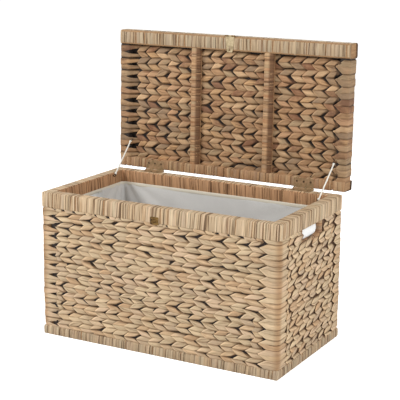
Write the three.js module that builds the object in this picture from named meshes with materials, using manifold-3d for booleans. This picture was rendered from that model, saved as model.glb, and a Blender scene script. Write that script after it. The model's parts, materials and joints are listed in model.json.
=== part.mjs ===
// A woven storage trunk with its lid standing open. A wrapped frame carries four woven walls,
// a cloth liner hangs inside, and two cord stays hold the lid a little past upright.
// Millimetres, +Z up. The catch is on the -Y side and +X is on the right of someone facing it.
// The origin is the middle of the underside of the base board.
import * as THREE from "three";
import { mergeVertices } from "three/addons/utils/BufferGeometryUtils.js";
import Module from "manifold-3d";

// Overall box, over its wrapped rim
const boxWidth = 760;
const boxDepth = 414;
const boxHeight = 427;

// Wrapped frame of the box
const rimHeight = 43;
const rimThickness = 32;
const rimCornerRadius = 16;
const baseRailHeight = 25;
const baseRailThickness = 30;
const postSide = 30;
const postInset = 2;
const postCornerRadius = 12;
const baseBoardThickness = 10;

// Woven walls
const wallThickness = 20;
const wallInset = 5;

// Plaited stitches of the walls and the lid: pairs of rows that slant from tips on a middle line
const stitchPitch = 38.5;
const stitchRow = 14.62;
const stitchRise = 4.5;
const firstRowHeight = 13.4;
const firstTipFromPost = 16;
const lastTipFromPost = 27;
const lidStitchPitch = 37;
const lidStitchRow = 18.6;
const lidStitchRise = 4;
const lidFirstRowHeight = 14.2;
const lidTipFromRail = 24;
const stitchSlantShare = 0.6;
const stitchCrestShare = 0.3;
const tipRiseShare = 0.5;
const seamRiseShare = 0.2;

// Handle holes, one under the rim at each end
const handleHoleWidth = 118;
const handleHoleHeight = 36;
const jambWidth = 16;
const jambThickness = 24;
const jambCornerRadius = 5;

// Cloth liner
const linerThickness = 1.5;
const linerLap = 8;
const linerCornerRadius = 14;
const hemHeight = 12;
const hemThickness = 3;
const foldDepth = 4;
const longSideFolds = 5;
const shortSideFolds = 3;

// Lid
const lidEndOverhang = 2;
const lidFrontOverhang = 7.5;
const lidThickness = 44;
const lidFrontRailWidth = 42;
const lidBackRailWidth = 26;
const lidSideRailWidth = 30;
const lidPanelThickness = 21;
const lidPanelRecess = 19;
const battenWidth = 29.5;
const battenThickness = 17.6;
const battenSpacingShare = 0.32;
const battenShift = 4;
const battenCornerRadius = 8;
const lidOpenDegrees = 91.2;

// Butt hinges
const hingeLength = 64;
const hingeFromBoxEnd = 126;
const hingeSetback = 7.5;
const leafThickness = 1.6;
const leafGap = 0.6;
const leafReach = 31;
const leafCornerRadius = 3;
const lidEdgeFromAxis = 6;
const knuckleCount = 5;
const knuckleRadius = 3.2;
const hingePinRadius = 1.2;
const hingePinHeadRadius = 2.2;
const hingePinHeadThickness = 1;

// Countersunk screws of the hinges and the catch
const screwHeadRadius = 3.2;
const screwShankRadius = 1.6;
const screwLength = 14;
const screwPointLength = 2;
const hingeScrewCount = 3;
const hingeScrewFromEnd = 10;
const hingeScrewFromEdge = 10;

// Screw eyes and the cord stays between them
const eyeRingRadius = 4;
const eyeWireRadius = 1.1;
const eyeStandoff = 6.5;
const eyeScrewDepth = 12;
const boxEyeFromMiddle = 120;
const boxEyeBelowRim = 7;
const lidEyeFromBackEdge = 82;
const lidEyeRecess = 6;
const stayRadius = 2.2;

// Catch on the front of the box
const catchWidth = 27;
const catchHeight = 22;
const catchThickness = 1.5;
const catchCornerRadius = 3;
const catchBelowRim = 4;
const catchScrewSpacing = 18;
const catchScrewRise = 5;
const stapleWireRadius = 1.2;
const stapleHalfHeight = 4.3;
const stapleStraight = 7.5;

// Latch on the front of the lid
const latchPlateWidth = 42;
const latchPlateHeight = 28;
const latchPlateThickness = 1.2;
const latchPlateCornerRadius = 5;
const latchBarrelLength = 30;
const latchKnuckleCount = 3;
const latchKnuckleRadius = 1.9;
const latchPinRadius = 0.8;
const latchPinHeadRadius = 1.5;
const latchPinHeadThickness = 0.8;
const latchAxisFromLidFront = 2.6;
const latchAxisBelowLid = 1.5;
const tongueLength = 49;
const tongueRootWidth = 30;
const tongueTipWidth = 20;
const tongueThickness = 1.2;
const tongueTipRadius = 6;
const slotLength = 13.2;
const slotWidth = 5;

// Clearances and cutting overruns
const seatGap = 0.3;
const mitreGap = 0.6;
const runningGap = 0.3;
const overrun = 2;

// Softened edges and the number of steps in rounded shapes
const frameEdge = 3;
const edgeSteps = 2;
const cornerSteps = 4;
const smallRoundSides = 12;
const knuckleSides = 16;
const ringSteps = 16;
const wireSides = 8;
const staySides = 8;
const stapleArcSteps = 8;
const stapleSteps = 14;
const longFoldSteps = 5;
const shortFoldSteps = 4;

// Places that follow from the sizes above
const halfTurn = Math.PI;
const quarterTurn = halfTurn / 2;
const openAngle = THREE.MathUtils.degToRad(lidOpenDegrees);
const rimBottom = boxHeight - rimHeight;
const rimInnerX = boxWidth / 2 - rimThickness;
const rimInnerY = boxDepth / 2 - rimThickness;
const postInnerX = boxWidth / 2 - postInset - postSide;
const postInnerY = boxDepth / 2 - postInset - postSide;
const wallHeight = rimBottom - baseRailHeight;
const lidWidth = boxWidth + 2 * lidEndOverhang;
const lidLength = boxDepth + lidFrontOverhang + hingeSetback - lidEdgeFromAxis;
const battenSpacing = lidWidth * battenSpacingShare;
const hingeSpacing = boxWidth - 2 * hingeFromBoxEnd;
const hingeAxisY = boxDepth / 2 + hingeSetback;
const hingeAxisZ = boxHeight + leafThickness + leafGap / 2;
const lidUnderside = leafThickness + leafGap / 2;
const lidFrontY = -(lidEdgeFromAxis + lidLength);
const lidRailInnerX = lidWidth / 2 - lidSideRailWidth;
const latchAxisY = lidFrontY - latchAxisFromLidFront;
const latchAxisZ = lidUnderside - latchAxisBelowLid;
const catchMiddleZ = rimBottom - catchBelowRim + catchHeight / 2;

// How the walls and the lid are plaited, each from a middle line of tips or from a seam.
const wallPlait = {
  pitch: stitchPitch,
  row: stitchRow,
  rise: stitchRise,
  firstRow: firstRowHeight,
  firstTip: firstTipFromPost,
  lastTip: lastTipFromPost,
  startsAtMiddle: false,
};
const lidPlait = {
  pitch: lidStitchPitch,
  row: lidStitchRow,
  rise: lidStitchRise,
  firstRow: lidFirstRowHeight,
  firstTip: lidTipFromRail,
  lastTip: lidTipFromRail,
  startsAtMiddle: true,
};

// Library of looks: colour, roughness, metalness
const looks = {
  leafWrap: { color: 0xc3a47c, roughness: 0.85, metalness: 0 },
  weave: { color: 0xc4a680, roughness: 0.9, metalness: 0 },
  lidWeave: { color: 0xa58569, roughness: 0.9, metalness: 0 },
  board: { color: 0x9c7b55, roughness: 0.8, metalness: 0 },
  cloth: { color: 0xd6d3cc, roughness: 0.95, metalness: 0 },
  cord: { color: 0xf1ece2, roughness: 0.9, metalness: 0 },
  hingeMetal: { color: 0x7c7d64, roughness: 0.45, metalness: 0.9 },
  agedBrass: { color: 0x5c4526, roughness: 0.5, metalness: 0.9 },
  darkWire: { color: 0x2c2722, roughness: 0.5, metalness: 0.8 },
};

const wasm = await Module();
wasm.setup();

// Turns a closed geometry into a solid that can be joined and cut.
function toSolid(geometry) {
  const bare = geometry.index ? geometry.toNonIndexed() : geometry.clone();
  bare.deleteAttribute("normal");
  bare.deleteAttribute("uv");
  const merged = mergeVertices(bare);
  return new wasm.Manifold(
    new wasm.Mesh({
      numProp: 3,
      vertProperties: merged.attributes.position.array,
      triVerts: new Uint32Array(merged.index.array),
    }),
  );
}

function toGeometry(solid) {
  const mesh = solid.getMesh();
  const geometry = new THREE.BufferGeometry();
  geometry.setAttribute("position", new THREE.BufferAttribute(mesh.vertProperties, 3));
  geometry.setIndex(new THREE.BufferAttribute(mesh.triVerts, 1));
  geometry.computeVertexNormals();
  return geometry;
}

function joined(geometries) {
  const solids = geometries.map(toSolid);
  return toGeometry(solids.reduce((whole, next) => whole.add(next)));
}

function cutFrom(geometry, cutters) {
  const solids = cutters.map(toSolid);
  return toGeometry(solids.reduce((whole, next) => whole.subtract(next), toSolid(geometry)));
}

// What of a geometry lies inside another one.
function partInside(geometry, limit) {
  return toGeometry(toSolid(geometry).intersect(toSolid(limit)));
}

function piece(name, geometry, look) {
  const mesh = new THREE.Mesh(geometry, new THREE.MeshStandardMaterial(look));
  mesh.name = name;
  return mesh;
}

function polygon(points) {
  return new THREE.Shape(points.map(([x, y]) => new THREE.Vector2(x, y)));
}

// A rectangle with rounded corners, its middle at (centreX, centreY).
function roundedRectangle(width, height, radius, centreX = 0, centreY = 0) {
  const left = centreX - width / 2;
  const right = centreX + width / 2;
  const low = centreY - height / 2;
  const high = centreY + height / 2;
  const shape = new THREE.Shape();
  shape.moveTo(left + radius, low);
  shape.lineTo(right - radius, low);
  shape.absarc(right - radius, low + radius, radius, -quarterTurn, 0, false);
  shape.lineTo(right, high - radius);
  shape.absarc(right - radius, high - radius, radius, 0, quarterTurn, false);
  shape.lineTo(left + radius, high);
  shape.absarc(left + radius, high - radius, radius, quarterTurn, halfTurn, false);
  shape.lineTo(left, low + radius);
  shape.absarc(left + radius, low + radius, radius, halfTurn, halfTurn + quarterTurn, false);
  return shape;
}

// A prism that stands on z = 0.
function prism(outline, height) {
  const options = { depth: height, bevelEnabled: false, curveSegments: cornerSteps };
  return new THREE.ExtrudeGeometry(outline, options);
}

// The same with its edges softened, as a wrapped member's are, at its full outer size.
function softPrism(outline, height) {
  return new THREE.ExtrudeGeometry(outline, {
    depth: height - 2 * frameEdge,
    bevelThickness: frameEdge,
    bevelSize: frameEdge,
    bevelOffset: -frameEdge,
    bevelSegments: edgeSteps,
    curveSegments: cornerSteps,
  }).translate(0, 0, frameEdge);
}

// A box given by its low and high corners.
function block(low, high) {
  const size = high.map((value, axis) => value - low[axis]);
  const middle = high.map((value, axis) => (value + low[axis]) / 2);
  return new THREE.BoxGeometry(...size).translate(...middle);
}

function cylinderAlongX(radius, from, to, sides) {
  return new THREE.CylinderGeometry(radius, radius, to - from, sides)
    .rotateZ(quarterTurn)
    .translate((from + to) / 2, 0, 0);
}

function cylinderAlongZ(lowRadius, highRadius, from, to, sides) {
  return new THREE.CylinderGeometry(highRadius, lowRadius, to - from, sides)
    .rotateX(quarterTurn)
    .translate(0, 0, (from + to) / 2);
}

// A turned piece about Z from a profile of [radius, height] points, listed upwards.
function turned(profile, sides) {
  const points = profile.map(([radius, height]) => new THREE.Vector2(radius, height));
  return new THREE.LatheGeometry(points, sides).rotateX(quarterTurn);
}

// Where the lines between rows of stitches run. The first row has its own height, and the last
// takes what is left.
function rowLines(height, plait) {
  const even = Math.max(1, Math.round((height - plait.firstRow) / plait.row));
  return [0, ...Array.from({ length: even }, (_, i) => plait.firstRow + i * plait.row), height];
}

// Where the stitches' tips lie on a middle line, with the line's two ends.
function stitchTips(length, plait) {
  const run = length - plait.firstTip - plait.lastTip;
  const count = Math.max(1, Math.round(run / plait.pitch));
  const tips = Array.from({ length: count + 1 }, (_, i) =>
    plait.firstTip - length / 2 + run * i / count);
  return [-length / 2, ...tips, length / 2];
}

// A slab with plaited stitches on its -Y face: X along, Z up from 0, grooves near y = 0.
// Each stitch is a cell with one crest, close to the end with its tip.
function plaitedSlab(length, height, thickness, plait) {
  const tips = stitchTips(length, plait);
  const slanted = [tips[0], ...tips.slice(1).map((tip, i) =>
    THREE.MathUtils.lerp(tips[i], tip, stitchSlantShare)), tips.at(-1)];
  const heights = rowLines(height, plait);
  const vertices = [];
  const faces = [];
  const addVertex = (...point) => vertices.push(point) - 1;
  const lines = heights.map((z, k) => {
    const isMiddle = plait.startsAtMiddle === (k % 2 === 0);
    const rise = plait.rise * (isMiddle ? tipRiseShare : seamRiseShare);
    return { isMiddle, points: (isMiddle ? tips : slanted).map((x) => addVertex(x, -rise, z)) };
  });
  for (let k = 0; k + 1 < lines.length; k++) {
    const [low, high] = [lines[k], lines[k + 1]];
    const middle = low.isMiddle ? low.points : high.points;
    const seam = low.isMiddle ? high.points : low.points;
    faces.push(low.isMiddle ? [middle[0], seam[1], seam[0]] : [seam[0], seam[1], middle[0]]);
    for (let j = 0; j + 1 < middle.length; j++) {
      const tipSide = [middle[j], middle[j + 1]];
      const seamSide = [seam[j + 1], seam[j + 2]];
      const ring = low.isMiddle ? [...tipSide, ...seamSide.toReversed()]
        : [...seamSide, ...tipSide.toReversed()];
      const left = (vertices[middle[j]][0] + vertices[seam[j + 1]][0]) / 2;
      const right = (vertices[middle[j + 1]][0] + vertices[seam[j + 2]][0]) / 2;
      const crest = addVertex(THREE.MathUtils.lerp(left, right, stitchCrestShare), -plait.rise,
        (heights[k] + heights[k + 1]) / 2);
      ring.forEach((from, i) => faces.push([from, ring[(i + 1) % ring.length], crest]));
    }
  }
  closeBehind(vertices, faces, lines.map((line) => line.points), thickness / 2);
  const skin = new THREE.BufferGeometry();
  skin.setAttribute("position", new THREE.Float32BufferAttribute(vertices.flat(), 3));
  skin.setIndex(faces.flat());
  return joined([skin, block([-length / 2, 0, 0], [length / 2, thickness, height])]);
}

// Closes a sheet of face lines with sides and a flat back on y = depth.
function closeBehind(vertices, faces, lines, depth) {
  const edge = [
    ...lines[0],
    ...lines.slice(1).map((line) => line.at(-1)),
    ...lines.at(-1).slice(0, -1).toReversed(),
    ...lines.slice(1, -1).toReversed().map((line) => line[0]),
  ];
  const behind = edge.map((point) => {
    const [x, , z] = vertices[point];
    return vertices.push([x, depth, z]) - 1;
  });
  const [, , top] = vertices[lines.at(-1)[0]];
  const centre = vertices.push([0, depth, top / 2]) - 1;
  edge.forEach((point, i) => {
    const next = (i + 1) % edge.length;
    faces.push([point, behind[i], behind[next]], [point, behind[next], edge[next]]);
    faces.push([behind[next], behind[i], centre]);
  });
}

// A rail of a mitred frame: outer edge along X on y = 0, thickness towards +Y.
function mitredRail(length, thickness, height) {
  const half = (length - mitreGap) / 2;
  const outline = polygon([
    [-half, 0],
    [half, 0],
    [half - thickness, thickness],
    [thickness - half, thickness],
  ]);
  return softPrism(outline, height);
}

// The four rails of a frame, by side, set on the given height.
function mitredFrame(thickness, height, bottom) {
  const long = () => mitredRail(boxWidth, thickness, height);
  const short = () => mitredRail(boxDepth, thickness, height);
  return {
    front: long().translate(0, -boxDepth / 2, bottom),
    back: long().rotateZ(halfTurn).translate(0, boxDepth / 2, bottom),
    right: short().rotateZ(quarterTurn).translate(boxWidth / 2, 0, bottom),
    left: short().rotateZ(-quarterTurn).translate(-boxWidth / 2, 0, bottom),
  };
}

// A countersunk screw: head flush on z = 0, shank down.
function screwGeometry() {
  const profile = [
    [0, -screwLength],
    [screwShankRadius, screwPointLength - screwLength],
    [screwShankRadius, screwShankRadius - screwHeadRadius],
    [screwHeadRadius, 0],
    [0, 0],
  ];
  return turned(profile, smallRoundSides);
}

// What a screw needs cut in the sheet that it holds, and in the wood behind.
function screwSeatCutter() {
  const wide = screwHeadRadius + seatGap;
  const narrow = screwShankRadius + seatGap;
  const depth = wide - narrow;
  const mouth = turned([[0, -depth], [narrow, -depth], [wide, 0], [wide, overrun], [0, overrun]],
    smallRoundSides);
  const shank = cylinderAlongZ(narrow, narrow, -screwLength - overrun, 0, smallRoundSides);
  return joined([mouth, shank]);
}

// Where a hinge's screws sit, along the hinge from its middle.
function hingeScrewPlaces() {
  const reach = hingeLength / 2 - hingeScrewFromEnd;
  return Array.from({ length: hingeScrewCount }, (_, i) =>
    reach * (2 * i / (hingeScrewCount - 1) - 1));
}

const hingeScrewY = hingeScrewFromEdge - leafReach;
const hingeSides = [["left", -hingeSpacing / 2], ["right", hingeSpacing / 2]];

// Knuckles of one leaf lie at even or odd places along the barrel.
function knuckleSpans(parity) {
  const step = hingeLength / knuckleCount;
  return Array.from({ length: knuckleCount }, (_, i) => i)
    .filter((i) => i % 2 === parity)
    .map((i) => [i * step - hingeLength / 2, (i + 1) * step - hingeLength / 2]);
}

// A hinge leaf lying above the axis, with the sheet reaching towards -Y. The axis is X.
function hingeLeafGeometry(parity) {
  const outline = roundedRectangle(hingeLength, leafReach, leafCornerRadius, 0, -leafReach / 2);
  const sheet = prism(outline, leafThickness).translate(0, 0, leafGap / 2);
  const own = knuckleSpans(parity).map(([from, to]) =>
    cylinderAlongX(knuckleRadius, from + runningGap / 2, to - runningGap / 2, knuckleSides));
  const others = knuckleSpans(1 - parity).map(([from, to]) =>
    cylinderAlongX(knuckleRadius + runningGap, from - runningGap / 2, to + runningGap / 2,
      knuckleSides));
  const bore = cylinderAlongX(hingePinRadius + runningGap, -hingeLength, hingeLength,
    smallRoundSides);
  const seats = hingeScrewPlaces().map((x) =>
    screwSeatCutter().rotateX(halfTurn).translate(x, hingeScrewY, leafGap / 2));
  return cutFrom(joined([cutFrom(sheet, others), ...own]), [bore, ...seats]);
}

function hingePinGeometry() {
  const end = (hingeLength + runningGap) / 2;
  const profile = [
    [0, -end - hingePinHeadThickness],
    [hingePinHeadRadius, -end - hingePinHeadThickness],
    [hingePinHeadRadius, -end],
    [hingePinRadius, -end],
    [hingePinRadius, end],
    [hingePinHeadRadius, end],
    [hingePinHeadRadius, end + hingePinHeadThickness],
    [0, end + hingePinHeadThickness],
  ];
  return turned(profile, smallRoundSides).rotateY(quarterTurn);
}

// A screw eye: ring about the origin in the XZ plane, shank towards +X.
function screwEyeGeometry() {
  const ring = new THREE.TorusGeometry(eyeRingRadius, eyeWireRadius, wireSides, ringSteps)
    .rotateX(quarterTurn);
  const shank = cylinderAlongX(eyeWireRadius, eyeRingRadius, eyeStandoff + eyeScrewDepth,
    wireSides);
  return joined([ring, shank]);
}

// The pilot hole of a screw eye whose ring is at the origin.
function eyePilotCutter() {
  return cylinderAlongX(eyeWireRadius + seatGap, eyeStandoff - overrun,
    eyeStandoff + eyeScrewDepth + overrun, wireSides);
}

const boxEye = {
  x: rimInnerX - eyeStandoff,
  y: boxEyeFromMiddle,
  z: boxHeight - boxEyeBelowRim,
};
const lidEye = {
  x: lidRailInnerX - eyeStandoff,
  y: -(lidEdgeFromAxis + lidEyeFromBackEdge),
  z: lidUnderside + lidEyeRecess,
};

// Turns a piece made for the right-hand end round to the left-hand end.
function forSide(geometry, side) {
  return side === "left" ? geometry.rotateZ(halfTurn) : geometry;
}

const ends = [["left", -1], ["right", 1]];

function addBase(box) {
  const rails = mitredFrame(baseRailThickness, baseRailHeight, 0);
  for (const [side, geometry] of Object.entries(rails))
    box.add(piece(`base_rail_${side}`, geometry, looks.leafWrap));
  const halfX = boxWidth / 2 - baseRailThickness - seatGap;
  const halfY = boxDepth / 2 - baseRailThickness - seatGap;
  const board = block([-halfX, -halfY, 0], [halfX, halfY, baseBoardThickness]);
  box.add(piece("base_board", board, looks.board));
}

function addPosts(box) {
  const height = rimBottom - baseRailHeight;
  for (const [side, signX] of ends)
    for (const [face, signY] of [["front", -1], ["back", 1]]) {
      const outline = roundedRectangle(postSide, postSide, postCornerRadius);
      const x = signX * (postInnerX + postSide / 2);
      const y = signY * (postInnerY + postSide / 2);
      const post = prism(outline, height).translate(x, y, baseRailHeight);
      box.add(piece(`corner_post_${face}_${side}`, post, looks.weave));
    }
}

function addLongWalls(box) {
  for (const [face, sign] of [["front", -1], ["back", 1]]) {
    const wall = plaitedSlab(2 * postInnerX, wallHeight, wallThickness, wallPlait)
      .translate(0, wallInset - boxDepth / 2, baseRailHeight);
    const geometry = sign > 0 ? wall.rotateZ(halfTurn) : wall;
    box.add(piece(`woven_wall_${face}`, geometry, looks.weave));
  }
}

// The wall at the +X end, open at the top where the rim closes the handle hole.
function endWallGeometry() {
  const notch = handleHoleWidth / 2 + jambWidth;
  const wall = plaitedSlab(2 * postInnerY, wallHeight, wallThickness, wallPlait);
  const opening = block([-notch, -stitchRise - overrun, wallHeight - handleHoleHeight],
    [notch, wallThickness + overrun, wallHeight + overrun]);
  return cutFrom(wall, [opening]).rotateZ(quarterTurn)
    .translate(boxWidth / 2 - wallInset, 0, baseRailHeight);
}

function addEndWalls(box) {
  const holeBottom = rimBottom - handleHoleHeight;
  const jambX = boxWidth / 2 - wallInset - wallThickness / 2;
  const jambY = (handleHoleWidth + jambWidth) / 2;
  for (const [side, sign] of ends) {
    box.add(piece(`woven_wall_${side}`, forSide(endWallGeometry(), side), looks.weave));
    for (const [face, signY] of [["front", -1], ["back", 1]]) {
      const outline = roundedRectangle(jambThickness, jambWidth, jambCornerRadius);
      const jamb = prism(outline, handleHoleHeight)
        .translate(sign * jambX, signY * jambY, holeBottom);
      box.add(piece(`handle_jamb_${side}_${face}`, jamb, looks.leafWrap));
    }
  }
}

function addRims(box) {
  const rims = mitredFrame(rimThickness, rimHeight, rimBottom);
  const outside = softPrism(roundedRectangle(boxWidth, boxDepth, rimCornerRadius), rimHeight)
    .translate(0, 0, rimBottom);
  for (const side of Object.keys(rims)) rims[side] = partInside(rims[side], outside);
  const hingeHoles = hingeSides.flatMap(([, middle]) =>
    hingeScrewPlaces().map((x) => screwSeatCutter()
      .translate(middle + x, hingeAxisY + hingeScrewY, hingeAxisZ - leafGap / 2)));
  const catchHoles = catchScrewPlaces().map(([x, z]) =>
    screwSeatCutter().rotateX(quarterTurn).translate(x, catchFrontY, z));
  rims.back = cutFrom(rims.back, hingeHoles);
  rims.front = cutFrom(rims.front, catchHoles);
  for (const [side] of ends) {
    const pilot = forSide(eyePilotCutter().translate(boxEye.x, 0, 0), side);
    rims[side] = cutFrom(rims[side], [pilot.translate(0, boxEye.y, boxEye.z)]);
  }
  for (const [side, geometry] of Object.entries(rims))
    box.add(piece(`rim_${side}`, geometry, looks.leafWrap));
}

// One level of the liner: points round a rounded rectangle whose sides fold inwards a little.
function linerRing(halfX, halfY, radius, height, fold) {
  const points = [];
  const side = (fromX, fromY, toX, toY, inX, inY, folds, steps) => {
    for (let i = 0; i < steps; i++) {
      const share = i / steps;
      const depth = fold * (1 - Math.cos(2 * halfTurn * folds * share)) / 2;
      const x = fromX + (toX - fromX) * share + inX * depth;
      const y = fromY + (toY - fromY) * share + inY * depth;
      points.push([x, y, height]);
    }
  };
  const corner = (x, y, start) => {
    for (let i = 0; i < cornerSteps; i++) {
      const angle = start + quarterTurn * i / cornerSteps;
      points.push([x + radius * Math.cos(angle), y + radius * Math.sin(angle), height]);
    }
  };
  const flatX = halfX - radius;
  const flatY = halfY - radius;
  const longSteps = longSideFolds * longFoldSteps;
  const shortSteps = shortSideFolds * shortFoldSteps;
  side(-flatX, -halfY, flatX, -halfY, 0, 1, longSideFolds, longSteps);
  corner(flatX, -flatY, -quarterTurn);
  side(halfX, -flatY, halfX, flatY, -1, 0, shortSideFolds, shortSteps);
  corner(flatX, flatY, 0);
  side(flatX, halfY, -flatX, halfY, 0, -1, longSideFolds, longSteps);
  corner(-flatX, flatY, quarterTurn);
  side(-halfX, flatY, -halfX, -flatY, 1, 0, shortSideFolds, shortSteps);
  corner(-flatX, -flatY, halfTurn);
  return points;
}

// The liner as rings from the middle of its underside, up outside, over the hem and down inside.
function linerGeometry() {
  const halfX = rimInnerX - seatGap;
  const halfY = rimInnerY - seatGap;
  const bottom = baseBoardThickness + seatGap;
  const top = rimBottom + linerLap;
  const drop = top - hemHeight - bottom;
  const levelShares = [0, 0.15, 0.45, 0.8, 1];
  const foldShare = (share) => Math.sin(halfTurn * share);
  const outside = levelShares.map((share) =>
    linerRing(halfX, halfY, linerCornerRadius, bottom + drop * share, foldDepth * foldShare(share)));
  const inset = (thickness, height, fold) => linerRing(halfX - thickness, halfY - thickness,
    linerCornerRadius - thickness, height, fold);
  const inside = levelShares.map((share, i) => inset(linerThickness,
    i === 0 ? bottom + linerThickness : bottom + drop * share, foldDepth * foldShare(share)));
  const rings = [
    ...outside,
    linerRing(halfX, halfY, linerCornerRadius, top, 0),
    inset(hemThickness, top, 0),
    inset(hemThickness, top - hemHeight + linerThickness, 0),
    ...inside.reverse(),
  ];
  return ringsGeometry(rings, [0, 0, bottom], [0, 0, bottom + linerThickness]);
}

// A closed surface through rings of points, closed by a fan at each end.
function ringsGeometry(rings, startPoint, endPoint) {
  const count = rings[0].length;
  const positions = [...rings.flat(), startPoint, endPoint].flat();
  const start = rings.length * count;
  const end = start + 1;
  const last = (rings.length - 1) * count;
  const index = [];
  for (let i = 0; i < count; i++) {
    const next = (i + 1) % count;
    index.push(start, next, i);
    for (let ring = 0; ring < rings.length - 1; ring++) {
      const low = ring * count;
      const high = low + count;
      index.push(low + i, low + next, high + next, low + i, high + next, high + i);
    }
    index.push(end, last + i, last + next);
  }
  const geometry = new THREE.BufferGeometry();
  geometry.setAttribute("position", new THREE.Float32BufferAttribute(positions, 3));
  geometry.setIndex(index);
  geometry.computeVertexNormals();
  return geometry;
}

function addHinges(box, lid) {
  for (const [side, middle] of hingeSides) {
    const boxLeaf = toGeometry(toSolid(hingeLeafGeometry(0)).mirror([0, 0, 1]));
    box.add(piece(`hinge_leaf_box_${side}`, boxLeaf.translate(middle, hingeAxisY, hingeAxisZ),
      looks.hingeMetal));
    box.add(piece(`hinge_pin_${side}`, hingePinGeometry().translate(middle, hingeAxisY, hingeAxisZ),
      looks.hingeMetal));
    lid.add(piece(`hinge_leaf_lid_${side}`, hingeLeafGeometry(1).translate(middle, 0, 0),
      looks.hingeMetal));
    hingeScrewPlaces().forEach((x, i) => {
      const down = screwGeometry()
        .translate(middle + x, hingeAxisY + hingeScrewY, hingeAxisZ - leafGap / 2);
      box.add(piece(`hinge_screw_box_${side}_${i + 1}`, down, looks.hingeMetal));
      const up = screwGeometry().rotateX(halfTurn)
        .translate(middle + x, hingeScrewY, leafGap / 2);
      lid.add(piece(`hinge_screw_lid_${side}_${i + 1}`, up, looks.hingeMetal));
    });
  }
}

const catchFrontY = -boxDepth / 2 - catchThickness;

function catchScrewPlaces() {
  const z = catchMiddleZ + catchScrewRise;
  return [[-catchScrewSpacing / 2, z], [catchScrewSpacing / 2, z]];
}

// A staple whose legs run along +Y from the origin, one above and one below it.
function stapleGeometry() {
  const points = [new THREE.Vector3(0, 0, -stapleHalfHeight)];
  const straight = catchThickness + stapleStraight;
  for (let i = 0; i <= stapleArcSteps; i++) {
    const angle = halfTurn * i / stapleArcSteps - quarterTurn;
    const y = straight + stapleHalfHeight * Math.cos(angle);
    points.push(new THREE.Vector3(0, y, stapleHalfHeight * Math.sin(angle)));
  }
  points.push(new THREE.Vector3(0, 0, stapleHalfHeight));
  const path = new THREE.CurvePath();
  for (let i = 1; i < points.length; i++)
    path.add(new THREE.LineCurve3(points[i - 1], points[i]));
  const section = new THREE.Shape().absarc(0, 0, stapleWireRadius, 0, 2 * halfTurn, false);
  return new THREE.ExtrudeGeometry(section, {
    steps: stapleSteps,
    curveSegments: wireSides / 2,
    extrudePath: path,
  });
}

function addCatch(box) {
  const outline = roundedRectangle(catchWidth, catchHeight, catchCornerRadius);
  const sheet = prism(outline, catchThickness).rotateX(quarterTurn)
    .translate(0, -boxDepth / 2, catchMiddleZ);
  const legHoles = [-1, 1].map((sign) =>
    cylinderAlongZ(stapleWireRadius + seatGap, stapleWireRadius + seatGap,
      -catchThickness - overrun, overrun, smallRoundSides)
      .rotateX(-quarterTurn)
      .translate(0, -boxDepth / 2, catchMiddleZ + sign * stapleHalfHeight));
  const seats = catchScrewPlaces().map(([x, z]) =>
    screwSeatCutter().rotateX(quarterTurn).translate(x, catchFrontY, z));
  box.add(piece("catch_plate", cutFrom(sheet, [...legHoles, ...seats]), looks.agedBrass));
  const staple = stapleGeometry().rotateZ(halfTurn).translate(0, -boxDepth / 2, catchMiddleZ);
  box.add(piece("catch_staple", staple, looks.agedBrass));
  catchScrewPlaces().forEach(([x, z], i) => {
    const screw = screwGeometry().rotateX(quarterTurn).translate(x, catchFrontY, z);
    box.add(piece(`catch_screw_${i + 1}`, screw, looks.agedBrass));
  });
}

// Stretches of the lid along Y, measured from its back edge towards its front edge.
function lidY(fromBackEdge) {
  return -(lidEdgeFromAxis + fromBackEdge);
}

function lidBar(halfWidth, fromBack, toFront) {
  const low = lidY(toFront);
  const high = lidY(fromBack);
  const outline = polygon([
    [-halfWidth, low],
    [halfWidth, low],
    [halfWidth, high],
    [-halfWidth, high],
  ]);
  return softPrism(outline, lidThickness).translate(0, 0, lidUnderside);
}

function addLidFrame(lid) {
  const frontFrom = lidLength - lidFrontRailWidth;
  const backHoles = hingeSides.flatMap(([, middle]) =>
    hingeScrewPlaces().map((x) => screwSeatCutter().rotateX(halfTurn)
      .translate(middle + x, hingeScrewY, leafGap / 2)));
  const back = cutFrom(lidBar(lidWidth / 2, 0, lidBackRailWidth), backHoles);
  lid.add(piece("lid_rail_back", back, looks.leafWrap));
  lid.add(piece("lid_rail_front", lidBar(lidWidth / 2, frontFrom, lidLength), looks.leafWrap));
  const middle = lidRailInnerX + lidSideRailWidth / 2;
  for (const [side, sign] of ends) {
    const bar = lidBar(lidSideRailWidth / 2, lidBackRailWidth + seatGap, frontFrom - seatGap)
      .translate(sign * middle, 0, 0);
    const pilot = forSide(eyePilotCutter().translate(lidEye.x, 0, 0), side)
      .translate(0, lidEye.y, lidEye.z);
    lid.add(piece(`lid_rail_${side}`, cutFrom(bar, [pilot]), looks.leafWrap));
  }
}

// The lid's panel, plaited on both sides, its crests at its full thickness.
function addLidPanel(lid) {
  const width = 2 * (lidRailInnerX - seatGap);
  const from = lidBackRailWidth + seatGap;
  const length = lidLength - lidFrontRailWidth - seatGap - from;
  const level = lidUnderside + lidPanelRecess + lidPanelThickness / 2;
  const inside = plaitedSlab(width, length, lidPanelThickness / 2, lidPlait)
    .translate(0, lidStitchRise - lidPanelThickness / 2, 0);
  const panel = joined([inside, inside.clone().rotateZ(halfTurn)]).rotateX(quarterTurn)
    .translate(0, lidY(from), level);
  lid.add(piece("lid_panel", panel, looks.lidWeave));
}

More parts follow.
